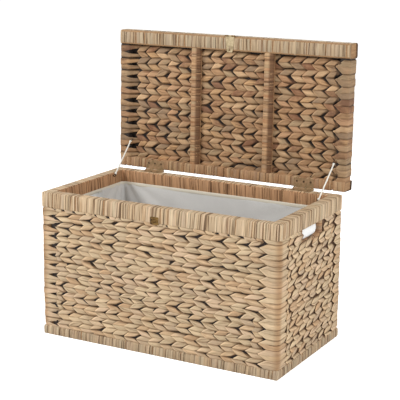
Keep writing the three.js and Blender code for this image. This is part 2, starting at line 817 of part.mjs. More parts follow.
// A batten's section in XZ: flat against the panel, rounded towards the inside of the box.
function battenGeometry() {
  const half = battenWidth / 2;
  const flat = half - battenCornerRadius;
  const section = new THREE.Shape();
  section.moveTo(-half, 0);
  section.lineTo(-half, battenCornerRadius - battenThickness);
  section.absarc(-flat, battenCornerRadius - battenThickness, battenCornerRadius, halfTurn,
    halfTurn + quarterTurn, false);
  section.lineTo(flat, -battenThickness);
  section.absarc(flat, battenCornerRadius - battenThickness, battenCornerRadius, -quarterTurn, 0,
    false);
  section.lineTo(half, 0);
  const length = lidLength - lidFrontRailWidth - lidBackRailWidth - 2 * seatGap;
  return prism(section, length).rotateX(quarterTurn);
}

function addBattens(lid) {
  const top = lidUnderside + lidPanelRecess - seatGap;
  for (const [side, sign] of ends) {
    const batten = battenGeometry()
      .translate(battenShift + sign * battenSpacing / 2, lidY(lidBackRailWidth + seatGap), top);
    lid.add(piece(`lid_batten_${side}`, batten, looks.leafWrap));
  }
}

function latchKnuckleSpans() {
  const step = latchBarrelLength / latchKnuckleCount;
  return Array.from({ length: latchKnuckleCount }, (_, i) =>
    [i * step - latchBarrelLength / 2, (i + 1) * step - latchBarrelLength / 2]);
}

function latchKnuckle([from, to]) {
  return cylinderAlongX(latchKnuckleRadius, from + runningGap / 2, to - runningGap / 2,
    smallRoundSides);
}

function latchBore() {
  return cylinderAlongX(latchPinRadius + runningGap, -latchBarrelLength, latchBarrelLength,
    smallRoundSides);
}

// The plate on the lid's front face, with its outer two knuckles. The latch axis is X.
function latchPlateGeometry() {
  const [first, middle, last] = latchKnuckleSpans();
  const centreZ = latchPlateHeight / 2 + latchAxisBelowLid;
  const outline = roundedRectangle(latchPlateWidth, latchPlateHeight, latchPlateCornerRadius, 0,
    centreZ);
  const backFace = latchAxisFromLidFront;
  const sheet = prism(outline, latchPlateThickness).rotateX(quarterTurn)
    .translate(0, backFace, 0);
  const lugs = [first, last].map(([from, to]) =>
    block([from + runningGap / 2, backFace - latchPlateThickness, 0],
      [to - runningGap / 2, backFace, centreZ]));
  const clear = latchKnuckleRadius + runningGap;
  const tongueRoom = block([middle[0] - runningGap / 2, -clear, -clear],
    [middle[1] + runningGap / 2, backFace + overrun, clear]);
  const whole = joined([sheet, ...lugs, latchKnuckle(first), latchKnuckle(last)]);
  return cutFrom(whole, [latchBore(), tongueRoom]);
}

function latchPinGeometry() {
  const end = (latchBarrelLength + runningGap) / 2;
  const profile = [
    [0, -end - latchPinHeadThickness],
    [latchPinHeadRadius, -end - latchPinHeadThickness],
    [latchPinHeadRadius, -end],
    [latchPinRadius, -end],
    [latchPinRadius, end],
    [latchPinHeadRadius, end],
    [latchPinHeadRadius, end + latchPinHeadThickness],
    [0, end + latchPinHeadThickness],
  ];
  return turned(profile, smallRoundSides).rotateY(quarterTurn);
}

// The staple's height below the latch axis when the lid is shut and the tongue hangs.
const slotFromAxis = hingeAxisZ + latchAxisZ - catchMiddleZ;

// The tongue as it hangs when latched: in the XZ plane, below an axis along X.
function tongueGeometry() {
  const [first, middle, last] = latchKnuckleSpans();
  const clear = latchKnuckleRadius + runningGap;
  const shoulder = latchAxisFromLidFront + runningGap;
  const low = -tongueLength;
  const half = tongueTipWidth / 2;
  const outline = new THREE.Shape();
  outline.moveTo(tongueRootWidth / 2, -shoulder);
  outline.lineTo(-tongueRootWidth / 2, -shoulder);
  outline.lineTo(-half, low + tongueTipRadius);
  outline.absarc(tongueTipRadius - half, low + tongueTipRadius, tongueTipRadius, halfTurn,
    halfTurn + quarterTurn, false);
  outline.lineTo(half - tongueTipRadius, low);
  outline.absarc(half - tongueTipRadius, low + tongueTipRadius, tongueTipRadius, -quarterTurn, 0,
    false);
  const slot = block([-slotWidth / 2, -tongueThickness, -slotFromAxis - slotLength / 2],
    [slotWidth / 2, tongueThickness, -slotFromAxis + slotLength / 2]);
  const sheet = prism(outline, tongueThickness).rotateX(quarterTurn)
    .translate(0, tongueThickness / 2, 0);
  const neck = block([middle[0] + runningGap / 2, -tongueThickness / 2, -shoulder - overrun],
    [middle[1] - runningGap / 2, tongueThickness / 2, 0]);
  const room = [first, last].map(([from, to]) => cylinderAlongX(clear,
    from - runningGap / 2, to + runningGap / 2, smallRoundSides));
  const whole = joined([cutFrom(sheet, room), neck, latchKnuckle(middle)]);
  return cutFrom(whole, [latchBore(), slot]);
}

function addLatch(lid) {
  const plate = latchPlateGeometry().translate(0, latchAxisY, latchAxisZ);
  lid.add(piece("latch_plate", plate, looks.agedBrass));
  const pin = latchPinGeometry().translate(0, latchAxisY, latchAxisZ);
  lid.add(piece("latch_pin", pin, looks.agedBrass));
  const swing = new THREE.Group();
  swing.position.set(0, latchAxisY, latchAxisZ);
  swing.rotation.x = quarterTurn;
  swing.add(piece("latch_tongue", tongueGeometry(), looks.agedBrass));
  lid.add(swing);
}

// Each stay runs from the eye on the rim to the eye on the lid's side rail, pulled straight.
function addStays(box, lid) {
  lid.updateMatrixWorld(true);
  for (const [side, sign] of ends) {
    const low = new THREE.Vector3(sign * boxEye.x, boxEye.y, boxEye.z);
    const high = new THREE.Vector3(sign * lidEye.x, lidEye.y, lidEye.z)
      .applyMatrix4(lid.matrixWorld);
    const along = high.clone().sub(low).normalize();
    const tilt = -Math.atan2(along.y, along.z);
    const lowEye = piece(`stay_eye_box_${side}`, forSide(screwEyeGeometry(), side), looks.darkWire);
    lowEye.position.copy(low);
    lowEye.rotation.x = tilt;
    box.add(lowEye);
    const highEye = piece(`stay_eye_lid_${side}`, forSide(screwEyeGeometry(), side), looks.darkWire);
    highEye.position.set(sign * lidEye.x, lidEye.y, lidEye.z);
    highEye.rotation.x = tilt - lid.rotation.x;
    lid.add(highEye);
    const clear = eyeRingRadius + eyeWireRadius + seatGap;
    const length = high.distanceTo(low) - 2 * clear;
    const cord = piece(`stay_${side}`,
      new THREE.CylinderGeometry(stayRadius, stayRadius, length, staySides), looks.cord);
    cord.position.copy(low).add(high).multiplyScalar(1 / 2);
    cord.quaternion.setFromUnitVectors(new THREE.Vector3(0, 1, 0), along);
    box.add(cord);
  }
}

const trunk = new THREE.Group();
const box = new THREE.Group();
const lid = new THREE.Group();
lid.position.set(0, hingeAxisY, hingeAxisZ);
lid.rotation.x = -openAngle;
trunk.add(box, lid);

addBase(box);
addPosts(box);
addLongWalls(box);
addEndWalls(box);
addRims(box);
box.add(piece("liner", linerGeometry(), looks.cloth));
addHinges(box, lid);
addCatch(box);
addLidFrame(lid);
addLidPanel(lid);
addBattens(lid);
addLatch(lid);
addStays(box, lid);

export default trunk;
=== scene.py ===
"""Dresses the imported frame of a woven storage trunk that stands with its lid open.

Everything is in metres in the frame's own axes: +Z up, the catch on the -Y side. The walls and the
lid get their plaited leaf stitches, the rails their wound strips, the inside its cloth bag, the
lid its two cord stays, and the metal its screws, rivets and patina.
"""

import json
import logging
import math
from dataclasses import dataclass, replace
from enum import Enum
from functools import reduce
from typing import Callable, Iterable, Optional, Sequence

import bmesh
import bpy
import numpy as np
from mathutils import Matrix, Vector, noise

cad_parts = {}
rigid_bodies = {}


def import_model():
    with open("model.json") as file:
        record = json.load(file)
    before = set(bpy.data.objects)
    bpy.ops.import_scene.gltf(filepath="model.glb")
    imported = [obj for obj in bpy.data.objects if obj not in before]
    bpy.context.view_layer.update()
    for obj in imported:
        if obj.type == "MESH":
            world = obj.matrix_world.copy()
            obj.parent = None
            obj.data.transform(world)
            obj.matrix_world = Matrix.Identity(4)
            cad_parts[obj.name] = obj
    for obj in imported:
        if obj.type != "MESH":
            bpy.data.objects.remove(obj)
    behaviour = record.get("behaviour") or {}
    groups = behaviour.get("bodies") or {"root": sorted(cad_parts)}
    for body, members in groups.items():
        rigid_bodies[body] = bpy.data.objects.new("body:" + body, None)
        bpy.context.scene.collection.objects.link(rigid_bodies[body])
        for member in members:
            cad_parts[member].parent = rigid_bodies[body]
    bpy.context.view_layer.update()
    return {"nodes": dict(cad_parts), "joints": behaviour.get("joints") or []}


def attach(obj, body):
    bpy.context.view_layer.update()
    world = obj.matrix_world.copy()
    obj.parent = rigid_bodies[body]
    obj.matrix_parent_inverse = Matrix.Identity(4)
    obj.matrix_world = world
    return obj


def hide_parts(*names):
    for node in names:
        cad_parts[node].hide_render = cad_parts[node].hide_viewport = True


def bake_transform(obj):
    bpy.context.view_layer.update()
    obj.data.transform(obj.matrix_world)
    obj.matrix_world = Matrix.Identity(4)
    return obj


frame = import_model()
LOG = logging.getLogger("trunk")
MM = 0.001
Triple = tuple[float, float, float]
Colour = Triple
Socket = bpy.types.NodeSocket
Piece = bpy.types.Object
Material = bpy.types.Material


class Body(Enum):
    """The bodies that the pieces made here ride on."""

    BOX = "box"
    LID = "lid"


class Slot(Enum):
    """The record's material slots."""

    LEAF_WRAP = "leaf_wrap"
    WEAVE = "weave"
    LID_WEAVE = "lid_weave"
    CLOTH = "cloth"
    CORD = "cord"
    HINGE_METAL = "hinge_metal"
    AGED_BRASS = "aged_brass"


def linear(*steps: int) -> Colour:
    """A colour as linear light.

    Args:
        *steps: Its red, green and blue in the 0 to 255 steps of a screen.

    Returns:
        The three linear values.
    """
    full, knee, toe, lift, power = 255.0, 0.04045, 12.92, 0.055, 2.4
    red, green, blue = (
        s / toe if s <= knee else ((s + lift) / (1 + lift)) ** power
        for s in (step / full for step in steps))
    return red, green, blue


def palette(*steps: tuple[int, int, int]) -> tuple[Colour, ...]:
    """Some colours written in the steps of a screen, as linear light."""
    return tuple(linear(*step) for step in steps)


def link(thing: Piece) -> Piece:
    """Puts an object into the scene and hands it back."""
    bpy.context.scene.collection.objects.link(thing)
    return thing


@dataclass(frozen=True)
class Fade:
    """Goes from one number to another while a value goes from its start to its end."""

    start: float = 0.0
    end: float = 1.0
    low: float = 0.0
    high: float = 1.0


class Graph:
    """A node tree in the making, with short ways to add nodes and to join them."""

    def __init__(self, tree: bpy.types.NodeTree) -> None:
        """Starts on a node tree."""
        self.tree = tree

    def fill(self, node: bpy.types.Node, inputs: dict) -> None:
        """Joins or sets a node's inputs.

        Args:
            node: The node.
            inputs: Sockets or values by the input's name or number.
        """
        for key, value in inputs.items():
            if isinstance(value, Socket):
                self.tree.links.new(value, node.inputs[key])
            else:
                node.inputs[key].default_value = value

    def add(self, kind: str, inputs: Optional[dict] = None, **settings: object) -> bpy.types.Node:
        """Adds a node.

        Args:
            kind: The node's type name.
            inputs: Sockets or values by the input's name or number.
            **settings: Values for the node's own properties.

        Returns:
            The new node.
        """
        node = self.tree.nodes.new(kind)
        for name, value in settings.items():
            setattr(node, name, value)
        self.fill(node, inputs or {})
        return node

    def math(self, operation: str, first: object, second: object = 0.0) -> Socket:
        """One sum on numbers, under the operation's name, such as MULTIPLY."""
        return self.add("ShaderNodeMath", {0: first, 1: second}, operation=operation).outputs[0]

    def product(self, *factors: object) -> Socket:
        """The product of two or more numbers, multiplied from the left."""
        return reduce(lambda done, factor: self.math("MULTIPLY", done, factor), factors)

    def centred(self, value: Socket, width: object) -> Socket:
        """A number from 0 to 1, moved to lie about 0 and made as wide as told."""
        return self.product(self.math("SUBTRACT", value, 0.5), width)

    def vector(self, operation: str, first: object, second: object) -> Socket:
        """One sum on vectors, under the operation's name, such as CROSS_PRODUCT."""
        node = self.add("ShaderNodeVectorMath", {0: first, 1: second}, operation=operation)
        return node.outputs[0]

    def combine(self, x: object, y: object, z: object) -> Socket:
        """A vector from three sockets or values."""
        return self.add("ShaderNodeCombineXYZ", {0: x, 1: y, 2: z}).outputs[0]

    def separate(self, vector: Socket) -> Sequence[Socket]:
        """The three parts of a vector."""
        return self.add("ShaderNodeSeparateXYZ", {0: vector}).outputs

    def cloud(self, where: Socket, scale: float, detail: float, roughness: float = 0.5) -> Socket:
        """Cloudy noise from 0 to 1.

        Args:
            where: The place that it is read at.
            scale: Its clouds to a metre.
            detail: How many finer layers it has.
            roughness: How strong the finer layers are.

        Returns:
            The socket with the noise.
        """
        inputs = {"Vector": where, "Scale": scale, "Detail": detail, "Roughness": roughness}
        return self.add("ShaderNodeTexNoise", inputs).outputs["Fac"]

    def fade(self, value: Socket, fade: Fade, curve: str = "LINEAR") -> Socket:
        """Puts a value through a fade, on a straight or a smooth curve."""
        inputs = {"Value": value, "From Min": fade.start, "From Max": fade.end,
                  "To Min": fade.low, "To Max": fade.high}
        return self.add("ShaderNodeMapRange", inputs, interpolation_type=curve).outputs[0]


class Surface(Graph):
    """A material in the making, for a piece with a UV map in metres or numbers on its points."""

    def __init__(self, name: str) -> None:
        """Starts a material under a name."""
        self.made = bpy.data.materials.new(name)
        self.made.use_nodes = True
        super().__init__(self.made.node_tree)

    def number(self, name: str) -> Socket:
        """A number kept on the points of the piece."""
        return self.add("ShaderNodeAttribute", attribute_name=name).outputs["Fac"]

    def place(self) -> Socket:
        """The place on the piece, in the piece's own axes."""
        return self.add("ShaderNodeTexCoord").outputs["Object"]

    def unrolled(self) -> Sequence[Socket]:
        """The two ways of the piece's UV map."""
        return self.separate(self.add("ShaderNodeUVMap", uv_map="UVMap").outputs[0])[:2]

    def mix(self, blend: str, factor: object, first: object, second: object) -> Socket:
        """Mixes two colours.

        Args:
            blend: The way of mixing.
            factor: The second colour's share.
            first: The first colour, or a socket.
            second: The second colour, or a socket.

        Returns:
            The socket with the colour.
        """
        factor_at, first_at, second_at, answer_at = 0, 6, 7, 2
        inputs = {factor_at: factor}
        for at, colour in ((first_at, first), (second_at, second)):
            inputs[at] = (*colour, 1.0) if isinstance(colour, tuple) else colour
        node = self.add("ShaderNodeMix", inputs, data_type="RGBA", blend_type=blend)
        return node.outputs[answer_at]

    def bump(self, height: Socket, strength: float, depth: float) -> Socket:
        """The slant that a grain of some depth gives the surface."""
        inputs = {"Height": height, "Strength": strength, "Distance": depth}
        return self.add("ShaderNodeBump", inputs).outputs[0]

    def finish(self, inputs: dict[str, object]) -> Material:
        """Gives the shader its sockets and values by name, and hands out the material."""
        self.fill(self.tree.nodes["Principled BSDF"], inputs)
        return self.made


class GeometryGraph(Graph):
    """A geometry node tree with named inputs, whose result goes out through Set Material.

    Attributes:
        waves: How many times to a metre bent rows wander up and down.
        dive: How near a skin's edge its stitches start to go in under it.
    """

    waves: float = 7.0
    dive: float = 2.5 * MM

    def __init__(self, name: str, inputs: Sequence[tuple[str, str, object]]) -> None:
        """Makes the tree and its named inputs.

        Args:
            name: The tree's name.
            inputs: Name, socket type and starting value of each input after the geometry.
        """
        tree = bpy.data.node_groups.new(name, "GeometryNodeTree")
        tree.interface.new_socket("Geometry", in_out="INPUT", socket_type="NodeSocketGeometry")
        self.keys: dict[str, str] = {}
        for label, kind, value in (*inputs, ("Seed", "Int", 0), ("Material", "Material", None)):
            item = tree.interface.new_socket(label, in_out="INPUT", socket_type=f"NodeSocket{kind}")
            if value is not None:
                item.default_value = value
            self.keys[label] = item.identifier
        tree.interface.new_socket("Geometry", in_out="OUTPUT", socket_type="NodeSocketGeometry")
        super().__init__(tree)
        self.given = self.add("NodeGroupInput").outputs

    def random(self, low: object, high: object, offset: int) -> Socket:
        """A random number for each point, from the tree's own seed.

        Args:
            low: The lowest value.
            high: The highest value.
            offset: Keeps one use of the seed apart from the next.

        Returns:
            The socket with the number.
        """
        low_at, high_at, seed_at, answer_at = 2, 3, 8, 1
        seed = self.math("ADD", self.given["Seed"], float(offset))
        inputs = {low_at: low, high_at: high, seed_at: seed}
        return self.add("FunctionNodeRandomValue", inputs, data_type="FLOAT").outputs[answer_at]

    def store(self, geometry: Socket, name: str, value: Socket) -> Socket:
        """Keeps a number on each point under a name."""
        inputs = {"Geometry": geometry, "Name": name, "Value": value}
        return self.add("GeometryNodeStoreNamedAttribute", inputs, data_type="FLOAT",
                        domain="POINT").outputs[0]

    def stored(self, name: str) -> Socket:
        """Reads a number kept on each point."""
        return self.add("GeometryNodeInputNamedAttribute", {"Name": name},
                        data_type="FLOAT").outputs[0]

    def shape(self, label: str) -> Socket:
        """The shape of the object that is given under a label."""
        info = self.add("GeometryNodeObjectInfo", {"Object": self.given[label]})
        return info.outputs["Geometry"]

    def moved(self, points: Socket, offset: Socket) -> Socket:
        """The points, each moved by its offset."""
        inputs = {"Geometry": points, "Offset": offset}
        return self.add("GeometryNodeSetPosition", inputs).outputs[0]

    def laid(self, points: Socket, shape: Socket, inputs: dict[str, object]) -> Socket:
        """Lays a shape on each point and makes real geometry of the result.

        Args:
            points: The points.
            shape: The shape, or the shapes to pick from.
            inputs: How each is picked, turned and sized.

        Returns:
            The real geometry.
        """
        inputs = {"Points": points, "Instance": shape, **inputs}
        laid = self.add("GeometryNodeInstanceOnPoints", inputs).outputs[0]
        return self.add("GeometryNodeRealizeInstances", {"Geometry": laid}).outputs[0]

    def bent(self, geometry: Socket, waver: object = 0.0, sinks: bool = False) -> Socket:
        """Bends unrolled geometry round the curve of the tree's Path input.

        Args:
            geometry: X is the distance round, -Y the way out from the curve and Z the height.
            waver: How far the rows wander up and down.
            sinks: Whether it goes in under its neighbours at the tree's Low and High heights.

        Returns:
            The bent geometry.
        """
        u, y, v = self.separate(self.add("GeometryNodeInputPosition").outputs[0])
        cloud = self.cloud(self.combine(u, 0.0, v), self.waves, 1.0)
        height = self.math("ADD", v, self.centred(cloud, self.product(waver, 2.0)))
        if sinks:
            spare = self.math("MINIMUM", self.math("SUBTRACT", height, self.given["Low"]),
                              self.math("SUBTRACT", self.given["High"], height))
            y = self.product(y, self.fade(spare, Fade(end=self.dive)))
        path = self.shape("Path")
        whole = self.add("GeometryNodeCurveLength", {"Curve": path}).outputs[0]
        sample = self.add("GeometryNodeSampleCurve", {
            "Curves": path, "Length": self.math("FLOORED_MODULO", u, whole)}, mode="LENGTH",
            use_all_curves=True).outputs
        out = self.vector("CROSS_PRODUCT", sample["Tangent"], (0.0, 0.0, 1.0))
        out = self.vector("NORMALIZE", out, (0.0, 0.0, 0.0))
        away = self.add("ShaderNodeVectorMath", {0: out, "Scale": self.product(y, -1.0)},
                        operation="SCALE").outputs[0]
        place = self.vector("ADD", self.vector("ADD", sample["Position"], away),
                            self.combine(0.0, 0.0, height))
        return self.add("GeometryNodeSetPosition", {
            "Geometry": geometry, "Position": place}).outputs[0]

    def finish(self, geometry: Socket) -> None:
        """Ends the tree: smooth faces, then the material.

        Args:
            geometry: The socket with the realized geometry.
        """
        smooth = self.add("GeometryNodeSetShadeSmooth", {"Geometry": geometry}).outputs[0]
        inputs = {"Geometry": smooth, "Material": self.given["Material"]}
        dressed = self.add("GeometryNodeSetMaterial", inputs).outputs[0]
        self.add("NodeGroupOutput", {0: dressed})

    def run(self, name: str, points: bpy.types.Mesh, values: dict[str, object]) -> Piece:
        """Runs the tree on a mesh.

        Args:
            name: The new piece's name.
            points: The mesh that the tree starts from.
            values: The value of each named input.

        Returns:
            The result as a plain mesh, with no modifier on it.
        """
        carrier = link(bpy.data.objects.new(name + "_carrier", points))
        modifier = carrier.modifiers.new("nodes", "NODES")
        modifier.node_group = self.tree
        for label, value in values.items():
            modifier[self.keys[label]] = value
        graph = bpy.context.evaluated_depsgraph_get()
        mesh = bpy.data.meshes.new_from_object(
            carrier.evaluated_get(graph), preserve_all_data_layers=True, depsgraph=graph)
        mesh.name = name
        bpy.data.objects.remove(carrier)
        return link(bpy.data.objects.new(name, mesh))


def mesh_object(name: str, vertices: Sequence, faces: Sequence,
                uvs: Optional[Sequence] = None) -> Piece:
    """A mesh object whose faces point outwards.

    Args:
        name: The object's name.
        vertices: The points.
        faces: The faces, as lists of point numbers.
        uvs: One pair for each corner of each face, or nothing.

    Returns:
        The object, linked to the scene.
    """
    mesh = bpy.data.meshes.new(name)
    mesh.from_pydata([tuple(v) for v in vertices], [], [tuple(f) for f in faces])
    if uvs is not None:
        layer = mesh.uv_layers.new(name="UVMap")
        layer.data.foreach_set("uv", np.asarray(uvs, dtype=float).ravel())
    build = bmesh.new()
    build.from_mesh(mesh)
    bmesh.ops.recalc_face_normals(build, faces=build.faces)
    build.to_mesh(mesh)
    build.free()
    mesh.shade_smooth()
    return link(bpy.data.objects.new(name, mesh))


def quads(rows: Sequence[float], columns: Sequence[float], closed: bool = False,
          swapped: bool = False) -> tuple[list, list]:
    """The quads between rings of points that follow each other.

    Args:
        rows: The map's value at each ring, and once more at the end if the rings close.
        columns: The map's value at each point of a ring, and once more at the end.
        closed: Whether the last ring joins the first.
        swapped: Whether the map's first value is the one round the ring.

    Returns:
        The faces, and the UV pair of each of their corners.
    """
    faces, uvs = [], []
    count, around = len(rows) - 1, len(columns) - 1
    for i in range(count):
        low, high = i * around, ((i + 1) % count if closed else i + 1) * around
        for j in range(around):
            k = (j + 1) % around
            faces.append((low + j, low + k, high + k, high + j))
            pairs = [(rows[i], columns[j]), (rows[i], columns[j + 1]),
                     (rows[i + 1], columns[j + 1]), (rows[i + 1], columns[j])]
            uvs += [pair[::-1] for pair in pairs] if swapped else pairs
    return faces, uvs


def keep_values(mesh: bpy.types.Mesh, name: str, values: Iterable[float]) -> None:
    """Keeps one number for each point of a mesh under a name."""
    mesh.attributes.new(name, "FLOAT", "POINT").data.foreach_set("value", list(values))


def tube(name: str, path: Sequence[Vector], radius: Callable[[float, float], float],
         sides: int) -> Piece:
    """A closed tube along a path, with its UV map along and round it.

    Args:
        name: The object's name.
        path: The points of its middle line.
        radius: Gives the radius from the distance along and the angle round.
        sides: The number of sides.

    Returns:
        The tube.
    """
    vertices: list[Vector] = []
    travelled = 0.0
    along = (path[1] - path[0]).normalized()
    side = along.orthogonal().normalized()
    distances = []
    for i, point in enumerate(path):
        ahead = path[min(i + 1, len(path) - 1)] - path[max(i - 1, 0)]
        turn = along.rotation_difference(ahead.normalized())
        along = ahead.normalized()
        side.rotate(turn)
        up = along.cross(side)
        travelled += (point - path[i - 1]).length if i else 0.0
        distances.append(travelled)
        for j in range(sides):
            angle = math.tau * j / sides
            reach = radius(travelled, angle)
            vertices.append(point + (side * math.cos(angle) + up * math.sin(angle)) * reach)
    faces, uvs = quads(distances, [j / sides for j in range(sides + 1)])
    first, last = len(vertices), len(vertices) + 1
    vertices += [path[0], path[-1]]
    end = (len(path) - 1) * sides
    for j in range(sides):
        k = (j + 1) % sides
        faces += [(first, k, j), (last, end + j, end + k)]
        uvs += [(0.0, j / sides)] * 3 + [(travelled, j / sides)] * 3
    return mesh_object(name, vertices, faces, uvs)


@dataclass(frozen=True)
class Setting:
    """The axes that a sub-assembly is built in, as it was built in the workshop.

    The box's are the frame's own. The lid's lie flat, as when it is shut, with the hinge pin on X.
    """

    body: Body
    matrix: Matrix

    def bounds(self, *nodes: str) -> tuple[Vector, Vector]:
        """Lowest and highest corner of some nodes in these axes.

        Args:
            *nodes: The nodes' names.

        Returns:
            The two corners.
        """
        inverse = self.matrix.inverted()
        points = np.array([inverse @ v.co for n in nodes for v in frame["nodes"][n].data.vertices])
        return Vector(points.min(axis=0)), Vector(points.max(axis=0))

    def carry(self, piece: Piece, slot: Slot) -> Piece:
        """Lets a piece ride on this body."""
        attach(piece, self.body.value)
        LOG.info("%s: %d faces on %s", piece.name, len(piece.data.polygons), self.body.value)
        return piece

    def place(self, piece: Piece, local: Matrix, slot: Slot) -> Piece:
        """Puts a piece's place into its mesh and lets it ride on its body.

        Args:
            piece: The finished piece.
            local: Where it goes in these axes.
            slot: Not used.

        Returns:
            The same piece.
        """
        piece.data.transform(self.matrix @ local)
        return self.carry(piece, slot)


def settings_of_frame() -> tuple[Setting, Setting]:
    """The box's and the lid's axes, the second from its hinge and how far it opens."""
    hinge = next(joint for joint in frame["joints"] if joint["child"] == Body.LID.value)
    opened = math.radians(max(hinge["range_deg"]))
    turned = Matrix.Translation(hinge["pos_m"]) @ Matrix.Rotation(-opened, 4, "X")
    return Setting(Body.BOX, Matrix.Identity(4)), Setting(Body.LID, turned)


@dataclass(frozen=True)
class FibreFinish:
    """Dried leaf: a colour for each strip or stitch, streaks along its fibres, painted shade at its
    edges.

    Attributes:
        tones: The colours that the strips range over, from the first strip to the last.
        crease: The colour painted as shade deep between strips and stitches.
        warm: The browner, darker colour that places marked as inner or bent lean to, partly painted
            shade.
        across: Streaks to a metre across the fibres.
        along: Streaks to a metre along them.
        fine: How many times finer than the streaks the hairs are.
        slits: How dark the narrow splits between fibres are, from 0 to 1.
        slit_share: How many of the fibres have a split beside them.
        brown_and_shade_share: How far those places lean to that colour.
        contrast: How far the grain goes to light and dark.
        stitched: Whether the pieces are stitches, which know where their neighbours lie and so take
            the painted shade and highlight about them.
        row: The height of a row of stitches.
        seam: The width of the painted shade between stitches, as a multiple of a wall's.
        shade_depth: How dark that painted shade is, from 0 to 1.
        shade_tint: What the painted shade's colour is multiplied with.
        apart: How far from each other two strips read the same streaks.
        patches: Weathered patches to a metre.
        drift: How far a patch moves a strip's colour along the tones.
        level: The light at the middle of the grain.
    """

    name: str
    tones: tuple[Colour, ...]
    crease: Colour
    warm: Colour
    light: float = 1.0
    across: float = 620.0
    along: float = 24.0
    fine: float = 2.6
    roughness: float = 0.72
    relief: float = 0.5 * MM
    slits: float = 0.35
    slit_share: float = 0.3
    brown_and_shade_share: float = 0.55
    contrast: float = 0.3
    stitched: bool = False
    row: float = 15 * MM
    seam: float = 1.0
    shade_depth: float = 0.85
    shade_tint: Colour = (1.0, 0.84, 0.66)
    apart: float = 57.0
    patches: float = 26.0
    drift: float = 0.3
    level: float = 0.96

    def painted_shade(self, g: Surface, streak: Socket) -> Socket:
        """Painted shade beside a stitch's neighbours and at its row's edges, and a painted
        highlight on its own leading edge.

        Args:
            g: The tree.
            streak: The fibres' noise, which makes the shade's edge wander.

        Returns:
            The socket with the painted shade and highlight, to multiply the colour with.
        """
        wide, wander = self.seam * MM, 5 * MM
        under_next = Fade(0.6 * wide, 4.8 * wide, 1.0, 0.0)
        by_height = Fade(0.05, 0.9, self.shade_depth, 0.6 * self.shade_depth)
        round_tip = Fade(2.8 * wide, 6.4 * wide, 0.05, 1.0)
        lower_edge, upper_edge = Fade(0.0, 0.24, 0.5, 1.0), Fade(0.76, 1.02, 1.0, 0.46)
        leading_edge = Fade(1 * MM, 7 * MM, 1.26, 1.0)
        ahead = g.math("ADD", g.number("ahead"), g.centred(streak, wander))
        rows = g.number("rows")
        tip = g.add("ShaderNodeVectorMath", {
            0: g.combine(ahead, g.product(rows, self.row), 0.0)}, operation="LENGTH")
        # Painted contact shadow just before the next stitch's edge, deeper near the plait's middle
        # line; near-black paint round the hole at the next tip; painted shade at the row's two
        # edges for roundness; a painted highlight on the stitch's own leading edge.
        close = g.product(g.fade(ahead, under_next), g.fade(rows, by_height))
        return g.product(g.math("SUBTRACT", 1.0, close), g.fade(tip.outputs["Value"], round_tip),
                         g.fade(rows, lower_edge), g.fade(rows, upper_edge),
                         g.fade(g.number("edge"), leading_edge))

    def ramp(self, g: Surface, where: Socket) -> Socket:
        """The strips' own colours, spread evenly from 0 to 1."""
        node = g.add("ShaderNodeValToRGB", {"Fac": where})
        stops = node.color_ramp.elements
        while len(stops) < len(self.tones):
            stops.new(0.5)
        for i, (stop, colour) in enumerate(zip(stops, self.tones)):
            stop.position = i / (len(self.tones) - 1)
            stop.color = (*(c * self.light for c in colour), 1.0)
        return node.outputs["Color"]

    def material(self) -> Material:
        """Builds the material.

        Returns:
            A material that reads the UV map and the tone, crest and warm attributes; the crest
            number sets its painted crease shade and painted highlight.
        """
        g = Surface(self.name)
        tone, crest, warm = (g.number(name) for name in ("tone", "crest", "warm"))
        u, v = g.unrolled()
        shift = g.product(tone, self.apart)
        streaks_at, hairs_at = (
            g.combine(g.product(u, self.along * fine), g.product(v, self.across * fine), shift)
            for fine in (1.0, self.fine))
        streak, hair = g.cloud(streaks_at, 0.5, 3.0, 0.6), g.cloud(hairs_at, 0.5, 2.0)
        patch = g.centred(g.cloud(g.place(), self.patches, 4.0, 0.65), self.drift)
        colours = self.ramp(g, g.math("ADD", tone, patch))
        grain = g.math("ADD", g.centred(streak, 0.95), g.centred(hair, 0.55))
        grained = Fade(-0.36, 0.36, self.level - self.contrast, self.level + self.contrast)
        split = Fade(self.slit_share, self.slit_share + 0.1, 1.0 - self.slits)
        # A painted highlight where the crest number is high, near stitch tips, and the crease
        # colour as painted shade where it is low.
        crest_highlight, crease_shade = Fade(0.85, 1.3, 1.0, 1.28), Fade(0.15, 0.9, 1.0, 0.0)
        in_shade = Fade(0.95, 0.25)
        shade = g.product(g.fade(grain, grained), g.fade(streak, split), g.fade(crest, crest_highlight))
        # Stitches also take painted shade beside their neighbours and a painted highlight on their
        # leading edges.
        if self.stitched:
            shade = g.product(shade, self.painted_shade(g, streak))
        # Marked places lean to the browner, darker colour: painted shade on a batten's one side,
        # the rim's own browner tone with painted shade on its inner face, and a browner band at a
        # strand's bend.
        browned_and_shaded = g.mix("MIX", g.product(warm, self.brown_and_shade_share), colours,
                       tuple(c * self.light for c in self.warm))
        toned = g.mix("MULTIPLY", 1.0, browned_and_shaded, shade)
        # Deep painted shade is tinted browner.
        shade_tinted = g.mix("MULTIPLY", g.fade(shade, in_shade), toned, self.shade_tint)
        rough = Fade(low=self.roughness - 0.12, high=self.roughness + 0.14)
        # Where the crest number is low, the crease colour is painted in as shade.
        return g.finish({
            "Base Color": g.mix("MIX", g.fade(crest, crease_shade, "SMOOTHSTEP"), shade_tinted,
                                self.crease),
            "Roughness": g.fade(streak, rough), "Specular IOR Level": 0.32,
            "Normal": g.bump(grain, 0.75, self.relief)})


WALL_FIBRE = FibreFinish(
    "weave_leaf",
    palette((188, 154, 118), (200, 172, 136), (194, 170, 138), (208, 183, 148), (194, 171, 138),
            (206, 177, 146), (198, 173, 139), (184, 160, 132), (204, 174, 138), (182, 150, 116)),
    crease=linear(84, 54, 30), warm=linear(162, 124, 86), stitched=True, contrast=0.39,
    brown_and_shade_share=0.75, shade_depth=0.66)
